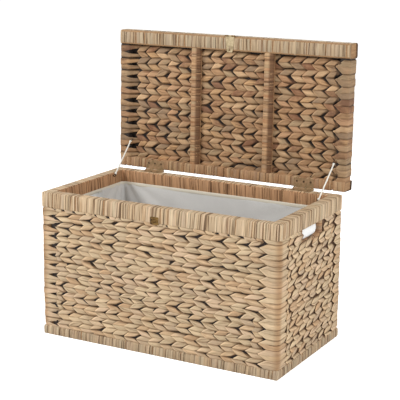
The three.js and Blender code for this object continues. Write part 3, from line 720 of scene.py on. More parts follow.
# The side walls' copy, with a lighter crease colour and lighter, narrower painted shade, since the
# light casts less shade across their stitches.
SIDE_FIBRE = replace(WALL_FIBRE, name="side_weave_leaf", crease=linear(112, 78, 48),
                     shade_depth=0.32, seam=0.72)
# The lid's leaf, with a near-black crease colour and wide, deep painted shade between its stitches.
LID_FIBRE = FibreFinish(
    "lid_weave_leaf",
    palette((124, 86, 61), (168, 131, 96), (152, 119, 86), (184, 151, 115), (152, 128, 98),
            (174, 135, 101), (162, 132, 99), (136, 112, 88), (178, 141, 101), (122, 88, 65)),
    crease=linear(26, 13, 6), warm=linear(180, 146, 110), stitched=True, contrast=0.4,
    row=18 * MM, light=1.16, seam=1.9, shade_depth=0.94)
# The wound leaf; on the rim's inner face it leans to its browner, darker colour, which is partly
# the leaf's own tone and partly painted shade.
WRAP_FIBRE = FibreFinish(
    "wound_leaf",
    palette((188, 157, 122), (200, 174, 141), (194, 169, 137), (194, 174, 144), (206, 182, 150),
            (198, 170, 139), (191, 168, 140), (202, 176, 142), (192, 164, 130), (202, 179, 147)),
    crease=linear(92, 62, 38), warm=linear(176, 130, 91), across=360.0, along=9.0, slits=0.62,
    slit_share=0.36, contrast=0.55, brown_and_shade_share=0.85, light=0.965)
# A darker copy of the wound leaf, for the base rail and the lid's front rail.
DARKER_WRAP_FIBRE = replace(WRAP_FIBRE, name="worn_wound_leaf", light=0.76, contrast=0.48)
BROWN_FIBRE = FibreFinish(
    "brown_wound_leaf",
    palette((152, 110, 76), (174, 138, 102), (162, 126, 92), (160, 134, 102), (180, 147, 112),
            (166, 127, 95), (156, 128, 100), (174, 138, 101), (158, 120, 86), (176, 145, 109)),
    crease=linear(50, 28, 14), warm=linear(140, 94, 58), across=330.0, along=9.0, slits=0.62,
    slit_share=0.34, contrast=0.4)
# Its dark brown colour is painted shade on one side of each batten.
BATTEN_FIBRE = replace(BROWN_FIBRE, name="batten_wound_leaf", warm=linear(84, 54, 32),
                       brown_and_shade_share=0.85, light=1.2)


@dataclass(frozen=True)
class CoreFinish:
    """The stems and board that show between stitches and strips; the darkest are painted as the
    shade in those gaps.
    """

    name: str
    low: Colour
    high: Colour
    streaks: Triple = (30.0, 30.0, 220.0)
    relief: float = 0.4 * MM

    def material(self) -> Material:
        """Builds the material, with streaky grain in the piece's own place."""
        g = Surface(self.name)
        grain = g.cloud(g.vector("MULTIPLY", g.place(), self.streaks), 1.0, 5.0)
        return g.finish({"Base Color": g.mix("MIX", grain, self.low, self.high),
                         "Roughness": 0.85, "Normal": g.bump(grain, 0.5, self.relief)})


# The next two stand for the shade in the gaps between stitches: near black on the front and back
# walls and the lid, dark brown on the side walls.
GAP_SHADE_CORE = CoreFinish("stem_core", *palette((16, 8, 4), (38, 22, 12)))
SIDE_GAP_SHADE_CORE = CoreFinish("side_core", *palette((66, 42, 25), (98, 68, 43)))
POST_CORE = CoreFinish("post_core", *palette((104, 74, 46), (140, 106, 70)))
RAIL_CORE = CoreFinish("rail_core", *palette((120, 84, 52), (188, 150, 108)))
PLY_BOARD = CoreFinish("ply_board", *palette((150, 118, 82), (196, 164, 122)))


@dataclass(frozen=True)
class MetalFinish:
    """Aged metal: a base colour, cloudy patina over it and fine scratches."""

    name: str
    base: Colour
    patina: Colour
    roughness: float
    metallic: float = 0.9
    clouds: float = 70.0
    scratches: Triple = (300.0, 2600.0, 2600.0)
    relief: float = 0.05 * MM

    def material(self) -> Material:
        """Builds the material from two noises in the piece's own place."""
        g = Surface(self.name)
        where = g.place()
        cloud = g.cloud(where, self.clouds, 6.0, 0.7)
        scratch = g.cloud(g.vector("MULTIPLY", where, self.scratches), 1.0, 2.0)
        covered = Fade(0.42, 0.62)
        rough = Fade(low=self.roughness - 0.15, high=self.roughness + 0.25)
        return g.finish({
            "Base Color": g.mix("MIX", g.fade(cloud, covered), self.base, self.patina),
            "Roughness": g.fade(cloud, rough), "Metallic": self.metallic,
            "Normal": g.bump(scratch, 0.25, self.relief)})


HINGE_METAL = MetalFinish("hinge_metal", *palette((164, 132, 98), (132, 110, 76)), 0.65, 0.35)
SCREW_METAL = MetalFinish("screw_metal", *palette((84, 64, 44), (56, 40, 26)), 0.5, 0.7)
PALE_BRASS = MetalFinish("pale_brass", *palette((186, 168, 134), (148, 130, 98)), 0.5, 0.5)
AGED_BRASS = MetalFinish("aged_brass", *palette((128, 100, 58), (58, 42, 24)), 0.48)
DARK_WIRE = MetalFinish("dark_wire", *palette((52, 46, 40), (34, 28, 24)), 0.5, 0.8)


@dataclass(frozen=True)
class ClothFinish:
    """Plain-woven cotton: threads both ways, faint shading and a soft sheen.

    Its backlight colour is painted light, where light comes through the cloth as it swells into a
    handle hole.
    """

    name: str
    base: Colour
    thread: float = 0.9 * MM
    shading: float = 0.1
    thin: Colour = linear(246, 247, 246)
    clouds: float = 14.0

    def material(self) -> Material:
        """Builds the material on the piece's UV map, which is in metres."""
        g = Surface(self.name)
        turn, thread_shade = math.tau / self.thread, 0.04
        weave = g.product(*(g.math("SINE", g.product(way, turn)) for way in g.unrolled()))
        cloud = g.centred(g.cloud(g.place(), self.clouds, 5.0), self.shading * 2)
        level = g.math("ADD", g.product(weave, thread_shade), cloud)
        # Painted light: the cloth turns to its backlight colour as far as it swells into a hole.
        base = g.mix("MIX", g.number("thin"), self.base, self.thin)
        return g.finish({
            "Base Color": g.mix("MULTIPLY", 1.0, base, g.math("ADD", level, 1.0)),
            "Roughness": 0.92, "Specular IOR Level": 0.2, "Sheen Weight": 0.15,
            "Normal": g.bump(weave, 0.4, 0.15 * MM)})


LINER_CLOTH = ClothFinish("liner_cloth", linear(208, 206, 202))
HEM_CLOTH = ClothFinish("hem_cloth", linear(222, 214, 196), shading=0.05)
CORD_YARN = ClothFinish("cord_yarn", linear(240, 236, 226), thread=1.4 * MM, shading=0.03)


@dataclass(frozen=True)
class Path:
    """A closed path with rounded corners that a skin of stitches is wrapped round.

    Attributes:
        points: The points of the rounded path, in the plane across the rows.
        corners: How far along the path the middle of each of its corners lies.
    """

    points: tuple[tuple[float, float], ...]
    corners: tuple[float, ...]

    @classmethod
    def rounded(cls, corners: Sequence[Triple], steps: int = 5) -> "Path":
        """Rounds the corners of a closed path.

        Args:
            corners: X, Y and radius of each corner, in order round the path.
            steps: The number of steps in each rounded corner.

        Returns:
            The path, which starts where the first corner's rounding begins.
        """
        points: list[Vector] = []
        middles = []
        places = [Vector((x, y)) for x, y, _ in corners]
        for i, (place, (_, _, radius)) in enumerate(zip(places, corners)):
            back = (places[i - 1] - place).normalized()
            ahead = (places[(i + 1) % len(places)] - place).normalized()
            bend = math.pi - back.angle(ahead)
            reach = radius * math.tan(bend / 2)
            start, end = place + back * reach, place + ahead * reach
            inward = (back + ahead).normalized()
            centre = place + inward * radius / math.cos(bend / 2)
            first, last = start - centre, end - centre
            for step in range(steps + 1):
                share = step / steps
                spoke = (first * (1 - share) + last * share).normalized() * radius
                points.append(centre + spoke)
            middles.append(len(points) - 1 - steps // 2)
        travelled = np.cumsum([0.0] + [(b - a).length for a, b in zip(points, points[1:])])
        return cls(tuple((p.x, p.y) for p in points), tuple(travelled[m] for m in middles))

    def length(self) -> float:
        """The distance once round."""
        ring = [Vector(p) for p in self.points]
        return sum((b - a).length for a, b in zip(ring, ring[1:] + ring[:1]))

    def curve(self, name: str) -> Piece:
        """The path as a curve object that a node tree can sample."""
        data = bpy.data.curves.new(name, "CURVE")
        data.dimensions = "3D"
        spline = data.splines.new("POLY")
        spline.points.add(len(self.points) - 1)
        for point, (x, y) in zip(spline.points, self.points):
            point.co = (x, y, 0.0, 1.0)
        spline.use_cyclic_u = True
        return link(bpy.data.objects.new(name, data))


Outline = tuple[tuple[float, float], ...]
WALL_STRAND_LEVEL: Outline = ((0.0, 1.0), (0.1, 1.12), (0.3, 1.06), (0.5, 0.98), (0.66, 0.76),
                              (0.8, 0.4), (1.0, -0.1))
LID_STRAND_LEVEL: Outline = ((0.0, 0.9), (0.1, 0.95), (0.18, 0.62), (0.25, 0.37), (0.5, 0.36),
                             (0.66, 0.36), (0.8, 0.4), (1.0, -0.1))


def rounded_loop(half_x: float, half_y: float, radius: float,
                 count: int) -> list[tuple[Vector, Vector]]:
    """Even points round a rounded rectangle.

    Args:
        half_x: Half its size along X.
        half_y: Half its size along Y.
        radius: Its corners' radius.
        count: The number of points.

    Returns:
        Each point with the way inwards from it.
    """
    path = Path.rounded(((-half_x, -half_y, radius), (half_x, -half_y, radius),
                         (half_x, half_y, radius), (-half_x, half_y, radius)), 8)
    ring = [Vector(p) for p in path.points]
    steps = [(b - a).length for a, b in zip(ring, ring[1:] + ring[:1])]
    found, travelled, i = [], 0.0, 0
    for step in range(count):
        target = sum(steps) * step / count
        while travelled + steps[i] < target:
            travelled += steps[i]
            i += 1
        ahead = (ring[(i + 1) % len(ring)] - ring[i]).normalized()
        found.append((ring[i] + ahead * (target - travelled), Vector((-ahead.y, ahead.x))))
    return found


@dataclass(frozen=True)
class Stitch:
    """One leaf stitch of a row: its tip lies on top at the left, its tail dives at the right.

    Attributes:
        row: The height of a row of stitches.
        lead: The length over which the stitch swells from its tip.
        run: The length of its even middle, nothing on a short stitch.
        trail: The length over which it dives under the next stitch.
        crest: How far its back stands out from the wall.
        thickness: Half its thickness.
        next_at: How far from its tip the next stitch's tip lies on it.
        warm_at: How far from its tip a long strand takes a browner, darker band about its bend, or
            nothing.
        inner: Where its edge by the plait's middle line runs, as shares of length and row.
        outer: Where its other edge runs.
        level: How high its back lies along it, as shares of length and crest.
        edge_share: How boxy its section is across, where 1 is round.
        back_share: How boxy its section is outwards.
        swell: How much narrower and wider a stitch may be.
        sway: How far its middle may wander, in rows.
        ridge: How deep its back may pucker, as a share of its thickness.
    """

    row: float
    lead: float
    run: float
    trail: float
    crest: float
    thickness: float
    next_at: float
    warm_at: Optional[float] = None
    inner: Outline = ((0.0, 0.0), (0.15, -0.05), (0.3, -0.05), (0.45, 0.0), (0.6, 0.12),
                      (0.8, 0.34), (1.0, 0.6))
    outer: Outline = ((0.0, 0.02), (0.1, 0.4), (0.2, 0.74), (0.3, 1.0), (0.42, 1.09),
                      (0.75, 1.12), (1.0, 1.0))
    level: Outline = ((0.0, 0.8), (0.08, 0.97), (0.2, 1.05), (0.38, 0.97), (0.55, 0.76),
                      (0.72, 0.48), (0.88, 0.22), (1.0, -0.08))
    rings: tuple[float, ...] = (0.035, 0.1, 0.2, 0.32, 0.46, 0.6, 0.76, 0.92)
    run_step: float = 5 * MM
    warm_width: float = 9 * MM
    sides: int = 8
    edge_share: float = 0.6
    back_share: float = 0.75
    tip_highlight: float = 0.4
    swell: tuple[float, float] = (-0.08, 0.1)
    sway: float = 0.07
    ridge: float = 0.3

    def stations(self) -> list[tuple[float, float]]:
        """Distance along and share of the outline at each ring of the stitch."""
        stations = []
        for share in self.rings:
            late = max(0.0, share - 0.5) * 2
            early = min(share, 0.5) * 2
            stations.append((early * self.lead + (self.run if late else 0.0) + late * self.trail,
                             share))
        extra = round(self.run / self.run_step)
        stations += [(self.lead + self.run * (i + 0.5) / extra, 0.5) for i in range(extra)]
        return sorted(stations)

    def edge_at(self, rows: float) -> float:
        """How far from its tip its outer edge reaches a height, given in rows."""
        shares, heights = zip(*self.outer)
        top = heights.index(max(heights)) + 1
        return 2 * self.lead * min(0.5, float(np.interp(rows, heights[:top], shares[:top])))

    def build(self, name: str, upper: bool, seed: int) -> Piece:
        """Makes one stitch as a closed mesh.

        Args:
            name: The object's name.
            upper: Whether it belongs to the upper row of a plait, else it is turned over.
            seed: Picks the stitch's own small departures from the even shape.

        Returns:
            The stitch, with its tip at the origin and its back towards -Y.
        """
        draw = np.random.default_rng(seed)
        swell = 1 + draw.uniform(*self.swell)
        sway = draw.uniform(-self.sway, self.sway)
        ridge = draw.uniform(0.0, self.ridge)
        thinner_under, highlight_reach, puckers = 0.3 * self.row, 0.2 * self.lead, 4 * math.pi
        edge_light, outward_light, tip_light = 0.55, 0.45, 0.6
        flip = 1.0 if upper else -1.0
        rings, along = [], []
        kept: dict[str, list[float]] = {n: [] for n in ("crest", "warm", "edge", "ahead", "rows")}
        whole = self.lead + self.run + self.trail
        for distance, share in [(0.0, 0.0), *self.stations(), (whole, 1.0)]:
            low, high, top = (float(np.interp(share, *zip(*shares)))
                              for shares in (self.inner, self.outer, self.level))
            middle = ((low + high) / 2 + sway * math.sin(math.pi * share)) * self.row
            half = (high - low) / 2 * self.row * swell if 0.0 < share < 1.0 else 0.0
            thick = self.thickness * min(1.0, half / thinner_under)
            # Painted highlight near the tip, and painted shadow towards the tail, where the stitch
            # dives under the next one; both go into the crest number.
            highlight = 1 + self.tip_highlight * math.exp(-distance / highlight_reach)
            dive_shade = float(np.clip(0.6 + 0.4 * top, 0, 1))
            # A browner, darker band about a long strand's bend.
            bend_band = 0.0 if self.warm_at is None else math.exp(
                -((distance - self.warm_at) / self.warm_width) ** 2)
            ring = []
            for j in range(self.sides if half else 1):
                angle = math.tau * (j + 0.5) / self.sides
                across = math.copysign(abs(math.cos(angle)) ** self.edge_share, math.cos(angle))
                out = math.copysign(abs(math.sin(angle)) ** self.back_share, math.sin(angle))
                dip = 1 - ridge * max(out, 0.0) * math.sin(puckers * share + seed) ** 2
                back = top * self.crest - thick + thick * out * dip if half else top * self.crest
                height = middle + half * across
                ring.append((distance, -back, flip * height))
                # Painted crease shade: the light number is lower on the stitch's sides and
                # underside, and the crest number carries it.
                painted_light = edge_light + outward_light * out if half else tip_light
                edge = self.edge_at(height / self.row)
                kept["crest"].append(painted_light * highlight * dive_shade)
                kept["warm"].append(bend_band)
                kept["edge"].append(distance - edge)
                kept["ahead"].append(self.next_at + edge - distance)
                kept["rows"].append(max(height / self.row, 0.2 if self.run else -1.0))
            rings.append(ring)
            along.append(distance)
        piece = self.skin(name, rings, along)
        for word, values in kept.items():
            keep_values(piece.data, word, values)
        return piece

    def skin(self, name: str, rings: list, along: list[float]) -> Piece:
        """Joins rings of points into a closed mesh with its UV map in metres."""
        vertices = [p for ring in rings for p in ring]
        starts = np.cumsum([0] + [len(ring) for ring in rings])
        girth = 2.4 * self.row
        faces, uvs = [], []
        for i in range(len(rings) - 1):
            for j in range(self.sides):
                k = (j + 1) % self.sides
                low, high = starts[i], starts[i + 1]
                near, far = j / self.sides * girth, (j + 1) / self.sides * girth
                corners = [(low + j, along[i], near), (low + k, along[i], far),
                           (high + k, along[i + 1], far), (high + j, along[i + 1], near)]
                if len(rings[i]) == 1:
                    corners[:2] = [(low, along[i], near)]
                elif len(rings[i + 1]) == 1:
                    corners[2:] = [(high, along[i + 1], near)]
                faces.append([corner[0] for corner in corners])
                uvs += [corner[1:] for corner in corners]
        return mesh_object(name, vertices, faces, uvs)


def woven_skin_tree() -> GeometryGraph:
    """The tree that lays a stitch on each point and bends the cloth of stitches round a path.

    Returns:
        The tree. Its points lie unrolled: X is the distance round, Z the height.
    """
    g = GeometryGraph("woven_skin", (
        ("Stitches", "Collection", None), ("Path", "Object", None), ("Variants", "Int", 3),
        ("Lean", "Float", 0.12), ("Size", "Float", 0.13), ("Waver", "Float", 3 * MM),
        ("Lift", "Float", 0.8 * MM), ("Low", "Float", 0.0), ("High", "Float", 1.0)))
    kind = g.stored("kind")
    pick = g.math("ADD", g.product(kind, g.given["Variants"]),
                  g.math("FLOOR", g.product(g.random(0.0, 0.999, 2), g.given["Variants"])))
    calm, in_wall = g.stored("calm"), 0.35
    lean, tip = (g.product(g.random(-1.0, 1.0, i), g.given["Lean"], calm) for i in (3, 4))
    wide = g.math("ADD", g.product(g.random(-0.2, 1.0, 5), g.given["Size"]), 1.0)
    lift = g.product(g.random(-1.0, 1.0, 6), g.given["Lift"])
    toned = g.store(g.given["Geometry"], "tone", g.random(0.0, 1.0, 7))
    stitches = g.add("GeometryNodeCollectionInfo", {
        "Collection": g.given["Stitches"], "Separate Children": True, "Reset Children": True})
    real = g.laid(g.moved(toned, g.combine(0.0, lift, 0.0)), stitches.outputs[0], {
        "Pick Instance": True, "Instance Index": pick,
        "Rotation": g.combine(0.0, lean, g.product(tip, in_wall)),
        "Scale": g.combine(g.stored("stretch"), wide, wide)})
    g.finish(g.bent(real, g.given["Waver"], sinks=True))
    return g


@dataclass(frozen=True)
class Bend:
    """A stretch of a path that long strands cross, from where it starts to where it ends."""

    start: float
    end: float


@dataclass(frozen=True)
class Hole:
    """A rectangle of the unrolled skin that the stitches leave open."""

    left: float
    right: float
    low: float
    high: float


@dataclass(frozen=True)
class Spot:
    """Where one stitch lies: its tip, its plait's middle line and its kind of stitch.

    Its calm is how much of the random lean and shift it takes, from 0 to 1.
    """

    tip: float
    height: float
    kind: int
    stretch: float
    calm: float


@dataclass(frozen=True)
class Stretch:
    """A part of a skin that makes one piece, from one tip to another along the path.

    Its size is how much larger than their even shape its stitches may be.
    """

    name: str
    start: float
    end: float
    size: float = 0.13


@dataclass
class WovenSkin:
    """A skin of plaited stitches round a path.

    Attributes:
        bends: Where long strands cross, in order along the path.
        middles: The heights of the plaits' middle lines.
        row: The height of a row.
        pitch: The spacing of stitches along a row.
        crest: How far the stitches stand out.
        overlap: A stitch's length as a multiple of the pitch.
        reach_in: How far before a bend a long strand's tip lies.
        reach_out: How far past a bend a long strand is covered by the next stitch.
        lenses: How long the open gap at the long strands' tails is, for each bend.
        loose: How much longer the stitches past each bend are.
        stagger: How far each plait past a bend is moved on from the one below it, in stitches.
        strand_level: How high a long strand's back lies along it, as shares.
        strand_tip: Where the outer edge of a long strand's tip runs, as shares.
        thickness: Half a short stitch's thickness, in rows, as a long strand's is.
        strand_crest: How far a long strand stands out, as a share of the crest.
        phase_spread: How far a plait may be off its stagger, in stitches.
        nearest: How near to a bend or a hole a short stitch may start, in stitches.
        shift: How far a stitch may lie off its place, in stitches and in rows.
    """

    name: str
    path: Path
    bends: tuple[Bend, ...]
    middles: tuple[float, ...]
    low: float
    high: float
    row: float
    pitch: float
    crest: float
    overlap: float = 1.66
    reach_in: float = 55 * MM
    reach_out: float = 42 * MM
    lenses: tuple[float, ...] = (30 * MM, 10 * MM, 10 * MM, 10 * MM)
    loose: tuple[float, ...] = (1.0, 1.15, 1.0, 1.15)
    stagger: tuple[float, ...] = (0.13, 0.45, 0.13, 0.45)
    holes: tuple[Hole, ...] = ()
    banded_bends: bool = True
    variants: int = 4
    thickness: float = 0.2
    strand_thickness: float = 0.13
    strand_crest: float = 0.96
    phase_spread: float = 0.12
    nearest: float = 0.3
    shift: tuple[float, float] = (0.05, 0.03)
    strand_level: Outline = WALL_STRAND_LEVEL
    strand_tip: Outline = ((0.0, 0.02), (0.18, 0.46), (0.35, 0.9), (0.44, 1.04))
    seed: int = 3

    def stitch_set(self) -> bpy.types.Collection:
        """The stitches to choose from: short and long ones, each for both rows of a plait."""
        collection = bpy.data.collections.new(self.name + "_stitches")
        length = self.pitch * self.overlap
        short = Stitch(self.row, length / 2, 0.0, length / 2, self.crest,
                       self.thickness * self.row, self.pitch)
        number = 0
        for stitch in (short, *(self.strand(lens, length) for lens in self.lenses)):
            for upper in (True, False):
                for variant in range(self.variants):
                    piece = stitch.build(f"{self.name}_{number:02d}", upper, 10 * number + variant)
                    bpy.context.scene.collection.objects.unlink(piece)
                    collection.objects.link(piece)
                    number += 1
        bpy.context.scene.collection.children.link(collection)
        return collection

    def strand(self, lens: float, length: float) -> Stitch:
        """The long strand that crosses a bend.

        Args:
            lens: How long the open gap at its tail is.
            length: The length of a short stitch.

        Returns:
            The strand.
        """
        tail = length - self.pitch
        across = max(bend.end - bend.start for bend in self.bends)
        lead, trail = length / 2, lens + tail
        whole = self.reach_in + across + self.reach_out
        return Stitch(
            self.row, lead, whole + tail - lead - trail, trail, self.strand_crest * self.crest,
            self.strand_thickness * self.row, whole,
            warm_at=self.reach_in if self.banded_bends else None,
            inner=((0.0, 0.0), (0.08, -0.14), (0.46, -0.16), (0.52, 0.0), (0.62, 0.24),
                   (0.75, 0.38), (1.0, 0.55)),
            outer=(*self.strand_tip, (0.5, 1.05), (0.8, 1.06), (1.0, 0.9)),
            level=self.strand_level, back_share=0.42, tip_highlight=0.55, run_step=2.5 * MM,
            rings=(0.035, 0.1, 0.2, 0.3, 0.4, 0.47, 0.54, 0.6, 0.64, 0.68, 0.74, 0.84, 0.93))

    def spans(self, low: float, high: float) -> list[tuple[float, float, int]]:
        """The stretches of a row that short stitches fill.

        Args:
            low: The row's lower edge.
            high: The row's upper edge.

        Returns:
            The start of each stretch's first tip, the place that covers its last tail, and
            the number of the bend before it.
        """
        spans = []
        whole = self.path.length()
        for i, bend in enumerate(self.bends):
            after = self.bends[(i + 1) % len(self.bends)]
            start = bend.end + self.reach_out
            wrap = whole if i == len(self.bends) - 1 else 0.0
            end = after.start + wrap - self.reach_in
            middle = (low + high) / 2
            inside = [h for h in self.holes if start < (h.left + h.right) / 2 < end
                      and h.low < middle < h.high]
            for hole in inside:
                spans.append((start, hole.left, i))
                start = hole.right
            spans.append((start, end, i))
        return spans

    def spots(self) -> list[Spot]:
        """Every stitch of every row that lies within the skin, or nearly so."""
        spots, over, strand_calm = [], 0.2 * self.row, 0.2
        draw = np.random.default_rng(self.seed + 50)
        for number, middle in enumerate(self.middles):
            phases = [(share * number + draw.normal(0.0, self.phase_spread)) % 1.0
                      for share in self.stagger]
            for kind, low, high in ((0, middle, middle + self.row), (1, middle - self.row, middle)):
                centre = (low + high) / 2
                if not self.low - over < centre < self.high + over:
                    continue
                for i, bend in enumerate(self.bends):
                    spots.append(Spot(bend.start - self.reach_in, middle, kind + 2 * (i + 1), 1.0,
                                      strand_calm))
                for start, end, side in self.spans(low, high):
                    count = max(1, round((end - start) / self.pitch / self.loose[side]))
                    step = (end - start) / count
                    near = self.nearest * step
                    tips = [start + (i + phases[side]) * step for i in range(-1, count)]
                    tips = [start] + [t for t in tips if start + near < t < end - near]
                    spots += [Spot(tip, middle - self.sink(tip, low, high), kind,
                                   (after - tip) / self.pitch, 1.0)
                              for tip, after in zip(tips, (*tips[1:], end))]
        return spots

    def sink(self, tip: float, low: float, high: float) -> float:
        """How far a stitch is pressed down, so that its row's top clears a hole above it."""
        return max((high - hole.low for hole in self.holes
                    if hole.left - 0.5 * self.pitch < tip < hole.right
                    and (low + high) / 2 <= hole.low < high), default=0.0)

    def build(self, tree: GeometryGraph, material: Material,
              stretches: Sequence[Stretch]) -> list[Piece]:
        """Lays all the stitches and bends them round the path.

        Args:
            tree: The woven skin's node tree.
            material: The fibre.
            stretches: The parts that the skin is made in.

        Returns:
            The skin's pieces, as plain meshes.
        """
        draw = np.random.default_rng(self.seed)
        stitches, curve = self.stitch_set(), self.path.curve(self.name + "_path")
        spots, whole, pieces = self.spots(), self.path.length(), []
        for number, part in enumerate(stretches):
            own = [s for s in spots
                   if (s.tip - part.start) % whole < (part.end - part.start) % whole]
            points = bpy.data.meshes.new(part.name + "_points")
            shift = draw.normal(0.0, self.shift, (len(own), 2))
            points.from_pydata(
                [(s.tip + self.pitch * dx * s.calm, 0.0, s.height + self.row * dz * s.calm)
                 for s, (dx, dz) in zip(own, shift)], [], [])
            for word in ("kind", "stretch", "calm"):
                keep_values(points, word, (getattr(s, word) for s in own))
            pieces.append(tree.run(part.name, points, {
                "Stitches": stitches, "Path": curve, "Variants": self.variants,
                "Low": self.low, "High": self.high, "Seed": self.seed + number,
                "Size": part.size, "Material": material}))
        bpy.data.objects.remove(curve)
        for stitch in list(stitches.objects):
            bpy.data.objects.remove(stitch)
        bpy.data.collections.remove(stitches)
        return pieces


def wound_strips_tree(follows_path: bool) -> GeometryGraph:
    """The tree that winds strips side by side round a rail along X.

    Args:
        follows_path: Whether the wound rail is then bent round a path.

    Returns:
        The tree.
    """
    g = GeometryGraph("wound_ring" if follows_path else "wound_strips", (
        ("Strip", "Object", None), ("Path", "Object", None), ("Length", "Float", 1.0),
        ("Inset", "Float", 0.0), ("Pitch", "Float", 0.012), ("Skew", "Float", 0.045),
        ("Slant", "Float", 0.0), ("Spread", "Float", 0.5), ("Stacking", "Float", 0.02)))
    count = g.math("MAXIMUM", g.math("ROUND", g.math(
        "DIVIDE", g.given["Length"], g.given["Pitch"])), 1.0)
    step = g.math("DIVIDE", g.given["Length"], count)
    line = g.add("GeometryNodeMeshLine", {
        "Count": count,
        "Start Location": g.combine(g.product(step, 0.5), g.given["Inset"], 0.0),
        "Offset": g.combine(step, 0.0, 0.0)}, mode="OFFSET").outputs[0]
    toned = g.store(line, "tone", g.random(0.0, 1.0, 1))
    nudge = g.product(g.random(-0.25, 0.25, 2), step)
    turn = [g.product(g.random(-1.0, 1.0, i), g.given["Skew"]) for i in (3, 4)]
    wide = g.math("ADD", g.product(g.random(-0.5, 1.0, 5), g.given["Spread"]), 1.0)
    deep = g.math("ADD", g.product(g.random(0.0, 1.0, 6), g.given["Stacking"]), 1.0)
    real = g.laid(g.moved(toned, g.combine(nudge, 0.0, 0.0)), g.shape("Strip"), {
        "Rotation": g.combine(0.0, g.math("ADD", turn[0], g.given["Slant"]), turn[1]),
        "Scale": g.combine(wide, deep, deep)})
    g.finish(g.bent(real) if follows_path else real)
    return g


@dataclass(frozen=True)
class WoundRail:
    """A straight rail that strips are wound round, along X through the middle of its section.

    Attributes:
        radius: The rounding of the section's corners.
        pitch: The spacing of the strips.
        inner: The side of Y whose face takes the fibre's browner, darker colour, partly painted
            shade, or 0.
        proud: How far the strips stand out at the corners.
        sunk: How far their edges go in under the rail's face.
        swell: How much further they stand out in the middle of a face.
        stacking: How much further one strip may stand out than the next, as a share.
        spread: How much wider one strip may be than the next, as a share.
        slant: How far the strips lean along the rail, in radians.
    """

    name: str
    length: float
    depth: float
    height: float
    radius: float = 3.5 * MM
    pitch: float = 12.5 * MM
    inner: int = 0
    proud: float = 1.3 * MM
    sunk: float = 0.2 * MM
    swell: float = 0.3 * MM
    stacking: float = 0.012
    spread: float = 0.8
    slant: float = 0.05
    seed: int = 1

    def section(self, proud: float) -> list[tuple[float, float]]:
        """The strip's line round the rail, at a height above the rail's face."""
        half_y, half_z = self.depth / 2, self.height / 2
        points = []
        corners = ((1, 1, 0.0), (-1, 1, 0.5), (-1, -1, 1.0), (1, -1, 1.5))
        for sign_y, sign_z, start in corners:
            for share in (0.0, 0.25, 0.5):
                angle = math.pi * (start + share)
                reach = self.radius + proud
                points.append((sign_y * (half_y - self.radius) + reach * math.cos(angle),
                               sign_z * (half_z - self.radius) + reach * math.sin(angle)))
            swollen = proud + (self.swell if proud > 0 else 0.0)
            if sign_y == sign_z:
                points.append((0.0, sign_z * (half_z + swollen)))
            else:
                points.append((sign_y * (half_y + swollen), 0.0))
        return points

    def strip(self) -> Piece:
        """One strip as a closed band, its width the pitch."""
        half = self.pitch / 2
        # The third number of each profile point is its painted light: low at the strip's edges,
        # which take the crease colour as painted shade between strips.
        crown, edge_light = ((0.84, 0.84, 0.92), (0.56, 0.95, 1.0), (0.26, 1.0, 1.0)), 0.3
        rising = [(-half, -self.sunk, edge_light)] + [
            (-share * half, rise * self.proud, level) for share, rise, level in crown]
        profile = (*rising, *((-x, rise, level) for x, rise, level in reversed(rising)))
        loops = [self.section(height) for _, height, _ in profile]
        count = len(loops[0])
        vertices = [(x, *point) for (x, _, _), loop in zip(profile, loops) for point in loop]
        steps = [math.dist(loops[1][i], loops[1][(i + 1) % count]) for i in range(count)]
        edges = [x for x, _, _ in profile]
        faces, uvs = quads((*edges, edges[0]), np.cumsum([0.0] + steps), closed=True, swapped=True)
        piece = mesh_object(self.name + "_strip", vertices, faces, uvs)
        keep_values(piece.data, "crest", (level for _, _, level in profile for _ in range(count)))
        # The face on the inner side takes the fibre's browner, darker colour: painted shade on the
        # battens, and on the rim its own browner tone with painted shade.
        reach = self.depth / 2 - self.radius
        keep_values(piece.data, "warm", (float(self.inner * y > reach) for _, y, _ in vertices))
        return piece

    def build(self, tree: GeometryGraph, material: Material, path: Optional[Path] = None) -> Piece:
        """Winds the strips.

        Args:
            tree: The wound strips' node tree.
            material: The fibre.
            path: The path that the rail's outer face follows, for a tree that bends.

        Returns:
            All the rail's strips as one plain mesh.
        """
        strip = self.strip()
        values = {"Strip": strip, "Length": self.length, "Pitch": self.pitch, "Seed": self.seed,
                  "Spread": self.spread, "Stacking": self.stacking, "Slant": self.slant,
                  "Material": material}
        if path:
            curve = path.curve(self.name + "_path")
            values |= {"Path": curve, "Inset": self.depth / 2}
        piece = tree.run(self.name, bpy.data.meshes.new(self.name + "_points"), values)
        bpy.data.objects.remove(strip)
        if path:
            bpy.data.objects.remove(curve)
        return piece


def paint(material: Material, *starts: str) -> None:
    """Gives another material to the CAD nodes whose names start so."""
    for name, node in frame["nodes"].items():
        if name.startswith(starts):
            if not node.material_slots:
                node.data.materials.append(material)
            for slot in node.material_slots:
                slot.material = material


